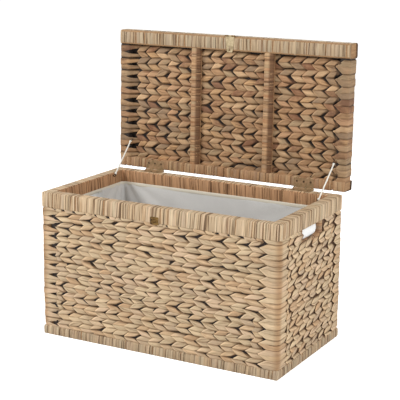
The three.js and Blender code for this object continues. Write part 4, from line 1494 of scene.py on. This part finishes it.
@dataclass
class Wraps:
    """The strips wound round the straight rails of one setting."""

    setting: Setting
    tree: GeometryGraph

    def wind(self, node: str, axis: str, material: Material, wider: float = 0.0,
             **sizes: float) -> Piece:
        """Winds strips round one rail of the frame.

        Args:
            node: The rail's node.
            axis: The axis that it runs along, X, Y or Z.
            material: The fibre.
            wider: How much further the strips stand out on the rail's +Y side.
            **sizes: More sizes of the wound rail.

        Returns:
            The strips.
        """
        low, high = self.setting.bounds(node)
        high.y += wider
        size, middle = high - low, (low + high) / 2
        length, depth, height, turn = {
            "X": (size.x, size.y, size.z, Matrix.Identity(4)),
            "Y": (size.y, size.x, size.z, Matrix.Rotation(math.pi / 2, 4, "Z")),
            "Z": (size.z, size.y, size.x, Matrix.Rotation(-math.pi / 2, 4, "Y"))}[axis]
        rail = WoundRail(node + "_wrap", length, depth, height, seed=sum(node.encode()) % 97,
                         **sizes)
        local = Matrix.Translation(middle) @ turn @ Matrix.Translation((-length / 2, 0.0, 0.0))
        return self.setting.place(rail.build(self.tree, material), local, Slot.LEAF_WRAP)


@dataclass
class WovenBox:
    """The box: its four woven walls, its wound rim and all its wound rails.

    Radii are given for each corner, the front left one first. The hole sizes say how much of the
    jambs' room the weave leaves open: trimmed at both ends, and longer where stitches' tails lie.
    """

    setting: Setting
    pitch: float = 38.5 * MM
    row: float = 14.62 * MM
    crest: float = 5.2 * MM
    corner_radii: tuple[float, ...] = (7 * MM, 11 * MM, 7 * MM, 7 * MM)
    under_posts: float = 1 * MM
    first_middle: float = 13.4 * MM
    rim_radii: tuple[float, ...] = (5 * MM, 9 * MM, 5 * MM, 5 * MM)
    rim_proud: float = 0.8 * MM
    base_radii: tuple[float, ...] = (2.5 * MM,) * 4
    base_proud: float = 1.5 * MM
    sill_height: float = 10 * MM
    hole_trim: float = 6 * MM
    hole_lead: float = 14 * MM
    hole_low: float = 1 * MM
    hole_high: float = 20 * MM

    def path(self) -> Path:
        """The path round the walls, at the level of the grooves between stitches."""
        _, post = self.setting.bounds("corner_post_back_right")
        return self.ring(post.x - self.under_posts, post.y - self.under_posts, self.corner_radii)

    @staticmethod
    def ring(half_x: float, half_y: float, radii: Sequence[float]) -> Path:
        """The path round a rectangle in the middle of the frame, its front left corner first."""
        signs = ((-1, -1), (1, -1), (1, 1), (-1, 1))
        return Path.rounded([(x * half_x, y * half_y, r) for (x, y), r in zip(signs, radii)])

    def skin(self, tree: GeometryGraph) -> None:
        """Weaves the four walls as one skin over them, with a gap for each handle."""
        low, high = self.setting.bounds("woven_wall_front")
        path = self.path()
        first = low.z + self.first_middle
        count = math.ceil((high.z - first) / (2 * self.row)) + 1
        middles = tuple(first + 2 * i * self.row for i in range(count))
        bends = tuple(Bend(c, c) for c in path.corners)
        skin = WovenSkin("box_weave", path, bends, middles, low.z, high.z, self.row, self.pitch,
                         self.crest, holes=self.holes(path))
        starts = [bend.start - skin.reach_in for bend in bends]
        stretches = [Stretch(f"box_weave_{side}", starts[i], starts[(i + 1) % len(starts)], size)
                     for i, (side, size) in enumerate(
                         (("front", 0.14), ("right", 0.22), ("back", 0.14), ("left", 0.22)))]
        # The side walls take the copy of the leaf with lighter painted shade.
        side_leaf = SIDE_FIBRE.material()
        for piece in skin.build(tree, WALL_FIBRE.material(), stretches):
            if piece.name.endswith(("left", "right")):
                piece.data.materials[0] = side_leaf
            self.setting.place(piece, Matrix.Identity(4), Slot.WEAVE)

    def jambs(self, side: str) -> tuple[Vector, Vector]:
        """The corners of the room that the two jambs of one handle hole take up."""
        return self.setting.bounds(f"handle_jamb_{side}_front", f"handle_jamb_{side}_back")

    def holes(self, path: Path) -> tuple[Hole, ...]:
        """The handle holes with their jambs, in the unrolled skin."""
        found = []
        for side, before, after in (("right", 1, 2), ("left", 3, 4)):
            corners = (*path.corners, path.length())
            middle = (corners[before] + corners[after]) / 2
            low, high = self.jambs(side)
            half = high.y - self.hole_trim
            found.append(Hole(middle - half - self.hole_lead, middle + half,
                              low.z + self.hole_low, high.z + self.hole_high))
        return tuple(found)

    def wound_ring(self, name: str, tree: GeometryGraph, material: Material,
                   radii: Sequence[float], rail: dict[str, float]) -> None:
        """Winds strips round the four rails of a frame as one ring over them.

        Args:
            name: What the rails' names start with.
            tree: The tree of a ring of strips.
            material: The fibre.
            radii: The rounding of each of the frame's outer corners.
            rail: More sizes of the wound rail.
        """
        sides = ("front", "back", "left", "right")
        low, high = self.setting.bounds(*(f"{name}_{side}" for side in sides))
        inner_low, inner_high = self.setting.bounds(f"{name}_back")
        path = self.ring(high.x, high.y, radii)
        wound = WoundRail(f"{name}_wrap", path.length(), inner_high.y - inner_low.y,
                          high.z - low.z, inner=1, **rail)
        middle = Matrix.Translation((0.0, 0.0, (low.z + high.z) / 2))
        self.setting.place(wound.build(tree, material, path), middle, Slot.LEAF_WRAP)

    def wraps(self, strips: GeometryGraph, ring: GeometryGraph) -> None:
        """Winds strips round the rim, the base rails, the jambs and the sills."""
        leaf, darker, brown = (f.material() for f in (WRAP_FIBRE, DARKER_WRAP_FIBRE, BROWN_FIBRE))
        self.wound_ring("rim", ring, leaf, self.rim_radii, {
            "proud": self.rim_proud, "swell": 0.2 * MM, "pitch": 8 * MM, "radius": 2.6 * MM,
            "seed": 12})
        self.wound_ring("base_rail", ring, darker, self.base_radii,
                        {"proud": self.base_proud, "pitch": 11 * MM, "seed": 21})
        wraps = Wraps(self.setting, strips)
        for side in ("left", "right"):
            for face in ("front", "back"):
                wraps.wind(f"handle_jamb_{side}_{face}", "Z", brown, pitch=9 * MM, radius=5 * MM)
            low, high = self.jambs(side)
            sill = WoundRail(f"handle_sill_{side}_wrap", high.y - low.y, high.x - low.x,
                             self.sill_height, pitch=11 * MM, seed=31)
            place = Matrix.Translation(((low.x + high.x) / 2, low.y, low.z - self.sill_height / 2))
            piece = sill.build(strips, brown)
            self.setting.place(piece, place @ Matrix.Rotation(math.pi / 2, 4, "Z"), Slot.LEAF_WRAP)

    def cores(self) -> None:
        """Gives what lies under the leaf its look: painted gap shade on the walls and on the lid's
        panel and side rails, colours of their own on posts, rails and board.
        """
        paint(GAP_SHADE_CORE.material(), "woven_wall_front", "woven_wall_back", "lid_panel",
              "lid_rail_left", "lid_rail_right")
        paint(SIDE_GAP_SHADE_CORE.material(), "woven_wall_left", "woven_wall_right")
        paint(POST_CORE.material(), "corner_post")
        paint(RAIL_CORE.material(), "base_rail", "rim_", "handle_jamb", "lid_rail_front",
              "lid_rail_back", "lid_batten")
        paint(PLY_BOARD.material(), "base_board")


@dataclass
class WovenLid:
    """The lid: its woven panel, seen from both sides, and its wound rails and battens."""

    setting: Setting
    row: float = 18.6 * MM
    pitch: float = 37 * MM
    crest: float = 5.2 * MM
    edge_radius: float = 3 * MM
    soft_radius: float = 16 * MM
    slope: float = 20 * MM
    under_panel: float = 2 * MM
    first_middle: float = 32.8 * MM

    def skin(self, tree: GeometryGraph) -> None:
        """Weaves the lid as a flat skin that goes round both its side rails."""
        rail_low, rail_high = self.setting.bounds("lid_rail_left", "lid_rail_right")
        panel_low, panel_high = self.setting.bounds("lid_panel")
        middle_z = (rail_low.z + rail_high.z) / 2
        half_x, half_z = rail_high.x, rail_high.z - middle_z
        inside = panel_low.z + self.under_panel - middle_z
        outside = panel_high.z - self.under_panel - middle_z
        rail_in, slope, edge, soft = panel_high.x, self.slope, self.edge_radius, self.soft_radius
        path = Path.rounded((
            (-half_x, -half_z, edge), (-rail_in, -half_z, edge), (slope - rail_in, inside, soft),
            (rail_in - slope, inside, soft), (rail_in, -half_z, edge), (half_x, -half_z, edge),
            (half_x, half_z, edge), (rail_in, half_z, edge), (rail_in - slope, outside, soft),
            (slope - rail_in, outside, soft), (-rail_in, half_z, edge), (-half_x, half_z, edge)))
        corner = path.corners
        right, left = Bend(corner[5], corner[6]), Bend(corner[11], path.length() + corner[0])
        span = panel_high.y - panel_low.y
        count = math.ceil((span - self.first_middle) / (2 * self.row)) + 1
        middles = tuple(self.first_middle + (2 * i - 2) * self.row for i in range(count + 1))
        skin = WovenSkin(
            "lid_weave", path, (right, left), middles, 0.0, span, self.row, self.pitch, self.crest,
            reach_in=50 * MM, reach_out=54 * MM, lenses=(10 * MM, 44 * MM), banded_bends=False,
            loose=(1.0, 1.0), stagger=(0.0, 0.0), strand_level=LID_STRAND_LEVEL,
            strand_tip=((0.0, 0.02), (0.2, 0.3), (0.4, 0.76), (0.48, 1.0)), seed=8)
        starts = [right.start - skin.reach_in, left.start - skin.reach_in]
        stretches = (Stretch("lid_weave_outside", starts[0], starts[1]),
                     Stretch("lid_weave_inside", starts[1], starts[0]))
        upright = Matrix.Translation((0.0, panel_high.y, middle_z)) @ Matrix.Rotation(
            math.pi / 2, 4, "X")
        for piece in skin.build(tree, LID_FIBRE.material(), stretches):
            self.setting.place(piece, upright, Slot.LID_WEAVE)

    def wraps(self, tree: GeometryGraph) -> None:
        """Winds strips round the front and back rails and the two battens."""
        darker, brown, batten = (f.material() for f in (DARKER_WRAP_FIBRE, BROWN_FIBRE, BATTEN_FIBRE))
        wraps = Wraps(self.setting, tree)
        wraps.wind("lid_rail_front", "X", darker, pitch=9.5 * MM, radius=6 * MM, proud=0.7 * MM)
        wraps.wind("lid_rail_back", "X", brown, pitch=10 * MM, radius=1.6 * MM, proud=0.9 * MM,
                   wider=1.2 * MM)
        for side in ("left", "right"):
            wraps.wind(f"lid_batten_{side}", "Y", batten, inner=-1, pitch=8.5 * MM,
                       radius=7.5 * MM, proud=0.6 * MM)


@dataclass
class Liner:
    """The cloth bag inside the box, hung from a hem along the rim.

    Attributes:
        crowding: How much closer the rings lie near the hem; 1 is even.
        bulge: How far the cloth swells out into a handle hole.
        bulge_ends: How abruptly the swelling ends along the hole.
        bulge_lips: How softly it ends at the hole's top and foot; 0 is at once.
        hang: How soon the cloth sags away from the hem and the floor; 1 is a half wave.
        fan_drop: How far down a corner's fan of folds spreads.
        fan_folds: How many folds it has to a radian.
    """

    setting: Setting
    corner_radius: float = 14 * MM
    around: int = 420
    levels: int = 46
    crowding: float = 1.5
    bulge: float = 28 * MM
    bulge_ends: float = 5
    bulge_lips: float = 0.08
    clear: float = 3 * MM
    floor_rings: int = 10
    ripple: float = 1.5 * MM
    sag: float = 5 * MM
    fold: float = 3 * MM
    hang: float = 0.6
    wall: float = 1.2 * MM
    fan_reach: float = 0.24
    fan_drop: float = 0.36
    fan_folds: float = 7.0
    fan_depth: float = 9 * MM
    seam_at: float = 30 * MM
    seam_width: float = 3 * MM
    seam_rise: float = 1.0 * MM
    hem_wave: float = 0.6 * MM
    hem_waves: float = 18

    def drape(self, place: Vector, share: float, half_x: float, half_y: float) -> float:
        """How far the cloth hangs in from the wall.

        Args:
            place: The place on the wall.
            share: How far down the bag, from 0 at the hem to 1 at the floor.
            half_x: Half the bag's width.
            half_y: Half its depth.

        Returns:
            The distance inwards.
        """
        slack = math.sin(math.pi * min(1.0, share * 1.02)) ** self.hang
        soft = noise.noise(Vector((place.x * 4.5, place.y * 4.5, share * 1.3)))
        crease = noise.noise(Vector((place.x * 15 + place.y * 9, place.y * 15, share * 2.4)))
        inset = self.sag * slack * (0.9 + 0.9 * soft) + self.fold * slack * crease
        for sign_x in (-1, 1):
            for sign_y in (-1, 1):
                along = math.hypot(sign_x * half_x - place.x, sign_y * half_y - place.y)
                near = math.exp(-(along / self.fan_reach) ** 2)
                fan = math.atan2(along, share * self.fan_drop + 0.03)
                ripple = abs(math.sin(self.fan_folds * fan + sign_x)) ** 1.5
                inset += near * slack * self.fan_depth * ripple
        seam = math.exp(-((place.x - self.seam_at) / self.seam_width) ** 2)
        inset += self.seam_rise * seam * slack
        return max(0.2 * MM, inset)

    def swell(self, place: Vector, z: float, hole: tuple[Vector, Vector]) -> float:
        """How far the cloth swells out into a handle hole.

        Args:
            place: The place on the wall.
            z: Its height.
            hole: The corners of the hole's own room, on the right side.

        Returns:
            The distance outwards, nothing away from the two holes.
        """
        low, high = hole
        if abs(place.x) < low.x or abs(place.y) > high.y or not low.z < z < high.z:
            return 0.0
        across = math.cos(math.pi / 2 * abs(place.y / high.y) ** self.bulge_ends)
        up = math.sin(math.pi * (z - low.z) / (high.z - low.z)) ** self.bulge_lips
        return self.bulge * across * up

    def bag(self) -> Piece:
        """The bag itself, from under the hem down to its floor."""
        low, high = self.setting.bounds("liner")
        half_x, half_y = high.x, high.y
        top, bottom = high.z - 2 * MM, low.z + 1 * MM
        whole = self.around
        base = rounded_loop(half_x, half_y, self.corner_radius, whole)
        front_low, front_high = self.setting.bounds("handle_jamb_right_front")
        hole = (Vector((half_x - 1 * MM, front_high.y, front_low.z + 2 * MM)),
                Vector((front_high.x, -front_high.y - self.clear, front_high.z - 2.5 * MM)))
        rings, thin = [], []
        for level in range(self.levels + 1):
            share = (level / self.levels) ** self.crowding
            z = top + (bottom - top) * share
            ring = []
            for place, inward in base:
                out = self.swell(place, z, hole)
                # Painted light through the cloth, as far as it swells into the hole.
                thin.append(out / self.bulge)
                inset = self.drape(place, share, half_x, half_y) - out
                ring.append(Vector((*(place + inward * inset), z)))
            rings.append(ring)
        for level in range(1, self.floor_rings):
            share, ring = level / self.floor_rings, []
            for point in rings[self.levels]:
                flat = Vector((point.x, point.y)) * (1 - share)
                lift = self.ripple * noise.noise(Vector((flat.x * 12, flat.y * 12, 4.0)))
                rise = abs(lift) * math.sin(math.pi * share)
                ring.append(Vector((flat.x, flat.y, bottom + rise)))
            rings.append(ring)
        vertices = [p for ring in rings for p in ring] + [Vector((0.0, 0.0, bottom))]
        step, downs = 2 * (half_x + half_y) * 2 / whole, [0.0]
        for ring, after in zip(rings, rings[1:]):
            downs.append(downs[-1] + (after[0] - ring[0]).length)
        faces, uvs = quads(downs, [j * step for j in range(whole + 1)], swapped=True)
        last, centre = (len(rings) - 1) * whole, len(vertices) - 1
        for j in range(whole):
            faces.append((last + j, last + (j + 1) % whole, centre))
            uvs += [(j * step, 1.0), ((j + 1) * step, 1.0), (j * step, 1.0)]
        piece = mesh_object("liner_bag", vertices, faces, uvs)
        keep_values(piece.data, "thin", thin + [0.0] * (len(vertices) - len(thin)))
        piece.data.flip_normals()
        thick = piece.modifiers.new("cloth", "SOLIDIFY")
        thick.thickness = self.wall
        thick.offset = 0.0
        piece.data.materials.append(LINER_CLOTH.material())
        self.setting.carry(piece, Slot.CLOTH)
        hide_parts("liner")
        return piece

    def hem(self) -> Piece:
        """The folded hem that holds the bag's mouth against the rim."""
        _, high = self.setting.bounds("liner")
        thick, tall, inset = 2.2 * MM, 11 * MM, 1.4 * MM
        section = [(math.cos(a), math.sin(a)) for a in np.arange(0, 2, 0.2) * math.pi]
        base = rounded_loop(high.x - inset, high.y - inset, self.corner_radius - inset, self.around)
        vertices = []
        for place, inward in base:
            wave = self.hem_wave * noise.noise(Vector((*(place * self.hem_waves), 1.0)))
            for across, up in section:
                out = place + inward * (across * thick / 2 + wave)
                rise = math.copysign(abs(up) ** 0.4, up) * tall / 2
                vertices.append((out.x, out.y, high.z - tall / 2 + rise + wave))
        sides, count = len(section), len(base)
        faces, uvs = quads([i * (2.0 / count) for i in range(count + 1)],
                           [j / sides * 2 * tall for j in range(sides + 1)], closed=True)
        piece = mesh_object("liner_hem", vertices, faces, uvs)
        piece.data.materials.append(HEM_CLOTH.material())
        return self.setting.place(piece, Matrix.Identity(4), Slot.CLOTH)

    def build(self) -> None:
        bag, hem = self.bag(), self.hem()
        low, high = self.setting.bounds("liner")


@dataclass
class Stays:
    """The two cord stays with the knots that tie them to their screw eyes."""

    box: Setting
    lid: Setting
    steps: int = 48
    strands: int = 3
    lay: float = 9 * MM
    groove: float = 0.14
    knot_turns: int = 2
    knot_steps: int = 14
    knot_wire: float = 1.15 * MM

    def ends(self, node: str) -> tuple[Vector, Vector, float]:
        """The two ends of a straight stay's middle line, and its diameter."""
        points = np.array([v.co for v in frame["nodes"][node].data.vertices])
        points = points[np.argsort(points[:, 2])]
        half = len(points) // 2
        low, high = Vector(points[:half].mean(axis=0)), Vector(points[half:].mean(axis=0))
        across = max((Vector(p) - low).cross((high - low).normalized()).length
                     for p in points[:half])
        return low, high, 2 * across

    def knot(self, name: str, end: Vector, along: Vector, setting: Setting,
             material: Material, diameter: float) -> Piece:
        """A few turns of the cord round itself, close to its eye."""
        side = along.orthogonal().normalized()
        up = along.cross(side)
        steps = self.knot_turns * self.knot_steps
        rise = self.knot_turns * self.knot_wire * 1.9
        clear = 0.5 * MM
        path = []
        for i in range(steps + 1):
            share = i / steps
            angle = math.tau * self.knot_turns * share
            reach = diameter / 2 + self.knot_wire * 0.55
            path.append(end + along * (rise * share + clear)
                        + (side * math.cos(angle) + up * math.sin(angle)) * reach)
        piece = tube(name, path, lambda _, __: self.knot_wire, 8)
        piece.data.materials.append(material)
        return setting.carry(piece, Slot.CORD)

    def build(self) -> None:
        yarn = CORD_YARN.material()
        for side in ("left", "right"):
            low, high, diameter = self.ends(f"stay_{side}")
            path = [low.lerp(high, i / self.steps) for i in range(self.steps + 1)]
            radius = diameter / 2

            def twisted(along: float, angle: float) -> float:
                """The radius of a laid rope."""
                wave = abs(math.cos(self.strands / 2 * (angle - math.tau * along / self.lay)))
                return radius * (1 - self.groove + self.groove * wave)

            cord = tube(f"stay_cord_{side}", path, twisted, 12)
            cord.data.materials.append(yarn)
            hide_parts(f"stay_{side}")
            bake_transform(cord)
            along = (high - low).normalized()
            self.knot(f"stay_knot_low_{side}", low, along, self.box, yarn, diameter)
            self.knot(f"stay_knot_high_{side}", high, -along, self.lid, yarn, diameter)
            LOG.info("stay %s: %.4f m long, %.4f m thick", side, (high - low).length, diameter)


def studs_tree() -> GeometryGraph:
    """The tree that sets a stud on each point, turned as its point says."""
    g = GeometryGraph("studs", (("Stud", "Object", None),))
    toned = g.store(g.given["Geometry"], "tone", g.random(0.0, 1.0, 1))
    facing = g.add("FunctionNodeAlignRotationToVector", {
        "Vector": g.add("GeometryNodeInputNamedAttribute", {"Name": "facing"},
                        data_type="FLOAT_VECTOR").outputs[0]}, axis="Z").outputs[0]
    spin = g.add("FunctionNodeRotateRotation", {
        "Rotation": facing,
        "Rotate By": g.combine(0.0, 0.0, g.random(0.0, math.tau, 2))}, rotation_space="LOCAL")
    g.finish(g.laid(toned, g.shape("Stud"), {"Rotation": spin.outputs[0]}))
    return g


@dataclass
class Hardware:
    """Hinges, screws, catch, latch and screw eyes."""

    box: Setting
    lid: Setting
    tree: GeometryGraph
    head_radius: float = 3.2 * MM
    head_lift: float = 0.27 * MM
    recess: float = 1.1 * MM
    sides: int = 16
    rivet_radius: float = 1.9 * MM
    rivet_rise: float = 1.1 * MM
    rivet_out: float = 15 * MM
    rivet_down: float = 7 * MM
    plate: float = 1.2 * MM

    def screw(self) -> Piece:
        """A screw with a crossed recess in its domed head, its point down."""
        profile = ((0.2, 0.5), (0.45, 0.9), (0.8, 0.72), (0.96, 0.3), (1.0, -0.1), (0.5, -5.0),
                   (0.45, -30.0))
        rings = []
        for reach, rise in profile:
            ring = []
            for j in range(self.sides):
                angle = math.tau * j / self.sides
                z = rise * self.head_lift
                if reach < 0.6 and rise > 0 and j % (self.sides // 4) == 0:
                    z -= self.recess
                ring.append((reach * self.head_radius * math.cos(angle),
                             reach * self.head_radius * math.sin(angle), z))
            rings.append(ring)
        return self.turned("screw", rings, -self.recess, profile[-1][1] * self.head_lift - 2 * MM)

    def rivet(self) -> Piece:
        """A domed rivet head."""
        rings = []
        for angle in (0.3, 0.8, 1.25, 1.57):
            reach, rise = math.sin(angle), math.cos(angle)
            rings.append([(reach * self.rivet_radius * math.cos(math.tau * j / 12),
                           reach * self.rivet_radius * math.sin(math.tau * j / 12),
                           rise * self.rivet_rise) for j in range(12)])
        return self.turned("rivet", rings, self.rivet_rise, -0.2 * MM)

    @staticmethod
    def turned(name: str, rings: list, top: float, bottom: float) -> Piece:
        """Closes rings about Z into one body, with a point at each end."""
        count = len(rings[0])
        vertices = [(0.0, 0.0, top), *(p for ring in rings for p in ring), (0.0, 0.0, bottom)]
        faces = []
        for j in range(count):
            k = (j + 1) % count
            faces.append((0, 1 + j, 1 + k))
            for i in range(len(rings) - 1):
                low = 1 + i * count
                faces.append((low + j, low + count + j, low + count + k, low + k))
            last = 1 + (len(rings) - 1) * count
            faces.append((len(vertices) - 1, last + k, last + j))
        return mesh_object(name, vertices, faces)

    def set_studs(self, name: str, setting: Setting, stud: Piece,
                  places: Sequence[tuple[Vector, Vector]], material: Material,
                  slot: Slot, replaced: Sequence[str] = ()) -> None:
        """Sets one kind of stud at some places.

        Args:
            name: The piece's name.
            setting: The axes that the places are in.
            stud: The stud.
            places: Where each head sits and the way that it faces.
            material: The metal.
            slot: Not used.
            replaced: The CAD nodes that the studs stand for.
        """
        points = bpy.data.meshes.new(name + "_points")
        points.from_pydata([tuple(place) for place, _ in places], [], [])
        facing = points.attributes.new("facing", "FLOAT_VECTOR", "POINT")
        facing.data.foreach_set("vector", [c for _, way in places for c in way])
        piece = self.tree.run(name, points, {"Stud": stud, "Seed": 5, "Material": material})
        setting.place(piece, Matrix.Identity(4), slot)
        if replaced:
            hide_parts(*replaced)

    @staticmethod
    def face(setting: Setting, node: str, way: Triple) -> tuple[Vector, Vector]:
        """The middle of the face that a node turns one way along an axis, and that way."""
        corners = zip(*setting.bounds(node), way)
        place = [high if w > 0 else low if w < 0 else (low + high) / 2 for low, high, w in corners]
        return Vector(place), Vector(way)

    def build(self) -> None:
        """Dresses all the metal."""
        hinge, brass, wire, pale, dark = (f.material() for f in (
            HINGE_METAL, AGED_BRASS, DARK_WIRE, PALE_BRASS, SCREW_METAL))
        paint(hinge, "hinge_")
        paint(brass, "catch_", "latch_p")
        paint(pale, "latch_tongue")
        paint(wire, "stay_eye")
        screw = self.screw()
        names = [f"hinge_screw_{{}}_{side}_{i}" for side in ("left", "right") for i in (1, 2, 3)]
        for setting, word, way in ((self.box, "box", 1.0), (self.lid, "lid", -1.0)):
            own = [n.format(word) for n in names]
            places = [self.face(setting, n, (0.0, 0.0, way)) for n in own]
            self.set_studs(f"hinge_screws_{word}", setting, screw, places, dark,
                           Slot.HINGE_METAL, own)
        own = ["catch_screw_1", "catch_screw_2"]
        places = [self.face(self.box, n, (0.0, -1.0, 0.0)) for n in own]
        self.set_studs("catch_screws", self.box, screw, places, brass, Slot.AGED_BRASS, own)
        bpy.data.objects.remove(screw)
        _, high = self.lid.bounds("latch_plate")
        rivet = self.rivet()
        face = high.y - self.plate
        places = [(Vector((side * self.rivet_out, face, high.z - self.rivet_down)),
                   Vector((0.0, -1.0, 0.0))) for side in (-1, 1)]
        self.set_studs("latch_rivets", self.lid, rivet, places, brass, Slot.AGED_BRASS)
        bpy.data.objects.remove(rivet)


@dataclass(frozen=True)
class Studio:
    """Pale floor, soft light and the camera at the photograph's place."""

    azimuth: float = 28.992
    elevation: float = 13.286
    roll: float = 0.454
    lens: float = 109.751
    sensor: float = 36.0
    stand: Triple = (1.67707, -2.97763, 1.21470)
    floor_size: float = 30.0
    floor_grey: float = 0.9
    floor_glow: float = 0.62
    sky: float = 0.5
    aim: Triple = (0.0, 0.0, 0.35)

    def camera(self) -> None:
        """Sets the camera, level but for the photograph's small roll."""
        turn, tilt = math.radians(self.azimuth), math.radians(self.elevation)
        back = Vector((math.sin(turn) * math.cos(tilt), -math.cos(turn) * math.cos(tilt),
                       math.sin(tilt)))
        right = Vector((0.0, 0.0, 1.0)).cross(back).normalized()
        up = back.cross(right)
        roll = math.radians(self.roll)
        right, up = (right * math.cos(roll) + up * math.sin(roll),
                     up * math.cos(roll) - right * math.sin(roll))
        data = bpy.data.cameras.new("camera")
        data.sensor_fit = "HORIZONTAL"
        data.sensor_width = self.sensor
        data.lens = self.lens
        camera = link(bpy.data.objects.new("camera", data))
        camera.matrix_world = Matrix.Translation(self.stand) @ Matrix(
            (right, up, back)).transposed().to_4x4()
        bpy.context.scene.camera = camera

    def lamp(self, name: str, place: Triple, size: float, power: float) -> None:
        """Hangs a soft square lamp that faces the trunk."""
        data = bpy.data.lights.new(name, "AREA")
        data.size = size
        data.energy = power
        lamp = link(bpy.data.objects.new(name, data))
        lamp.location = place
        towards = Vector(self.aim) - Vector(place)
        lamp.rotation_euler = towards.to_track_quat("-Z", "Y").to_euler()

    @staticmethod
    def seen(g: Graph) -> Socket:
        """1 where a surface is seen by the camera, in a gloss or through glass, else 0."""
        rays = g.add("ShaderNodeLightPath").outputs
        once = g.math("MAXIMUM", rays["Is Camera Ray"], rays["Is Glossy Ray"])
        return g.math("MAXIMUM", once, rays["Is Transmission Ray"])

    def light(self) -> None:
        """Sets the world and the lamps."""
        world = bpy.data.worlds.new("world")
        bpy.context.scene.world = world
        world.use_nodes = True
        g = Graph(world.node_tree)
        g.fill(world.node_tree.nodes["Background"], {
            "Color": (1.0, 1.0, 1.0, 1.0),
            "Strength": g.fade(self.seen(g), Fade(low=self.sky))})
        self.lamp("key", (-2.3, -2.3, 2.7), 1.5, 88.0)
        self.lamp("fill", (3.0, -0.8, 2.0), 1.6, 50.0)
        self.lamp("back", (-0.6, 3.0, 2.4), 2.0, 24.0)

    def floor(self) -> None:
        """Lays the pale floor."""
        half = self.floor_size / 2
        corners = [(-half, -half, 0.0), (half, -half, 0.0), (half, half, 0.0), (-half, half, 0.0)]
        floor = mesh_object("floor", corners, [(0, 1, 2, 3)])
        g, white = Surface("floor_paint"), (1.0, 1.0, 1.0, 1.0)
        floor.data.materials.append(g.finish({
            "Base Color": (*[self.floor_grey] * 3, 1.0), "Roughness": 1.0,
            "Specular IOR Level": 0.0, "Emission Color": white,
            "Emission Strength": g.product(self.seen(g), self.floor_glow)}))

    def build(self) -> None:
        """Sets up the whole studio."""
        self.camera()
        self.light()
        self.floor()
        bpy.context.scene.view_settings.view_transform = "Standard"


def main() -> None:
    """Builds the trunk's pieces in order."""
    logging.basicConfig(level=logging.INFO, format="%(name)s: %(message)s")
    box, lid = settings_of_frame()
    Studio().build()
    Stays(box, lid).build()
    skins = woven_skin_tree()
    strips, ring = (wound_strips_tree(follows_path) for follows_path in (False, True))
    woven_box = WovenBox(box)
    woven_box.cores()
    woven_box.skin(skins)
    woven_box.wraps(strips, ring)
    woven_lid = WovenLid(lid)
    woven_lid.skin(skins)
    woven_lid.wraps(strips)
    Liner(box).build()
    Hardware(box, lid, studs_tree()).build()


if __name__ == "__main__":
    main()
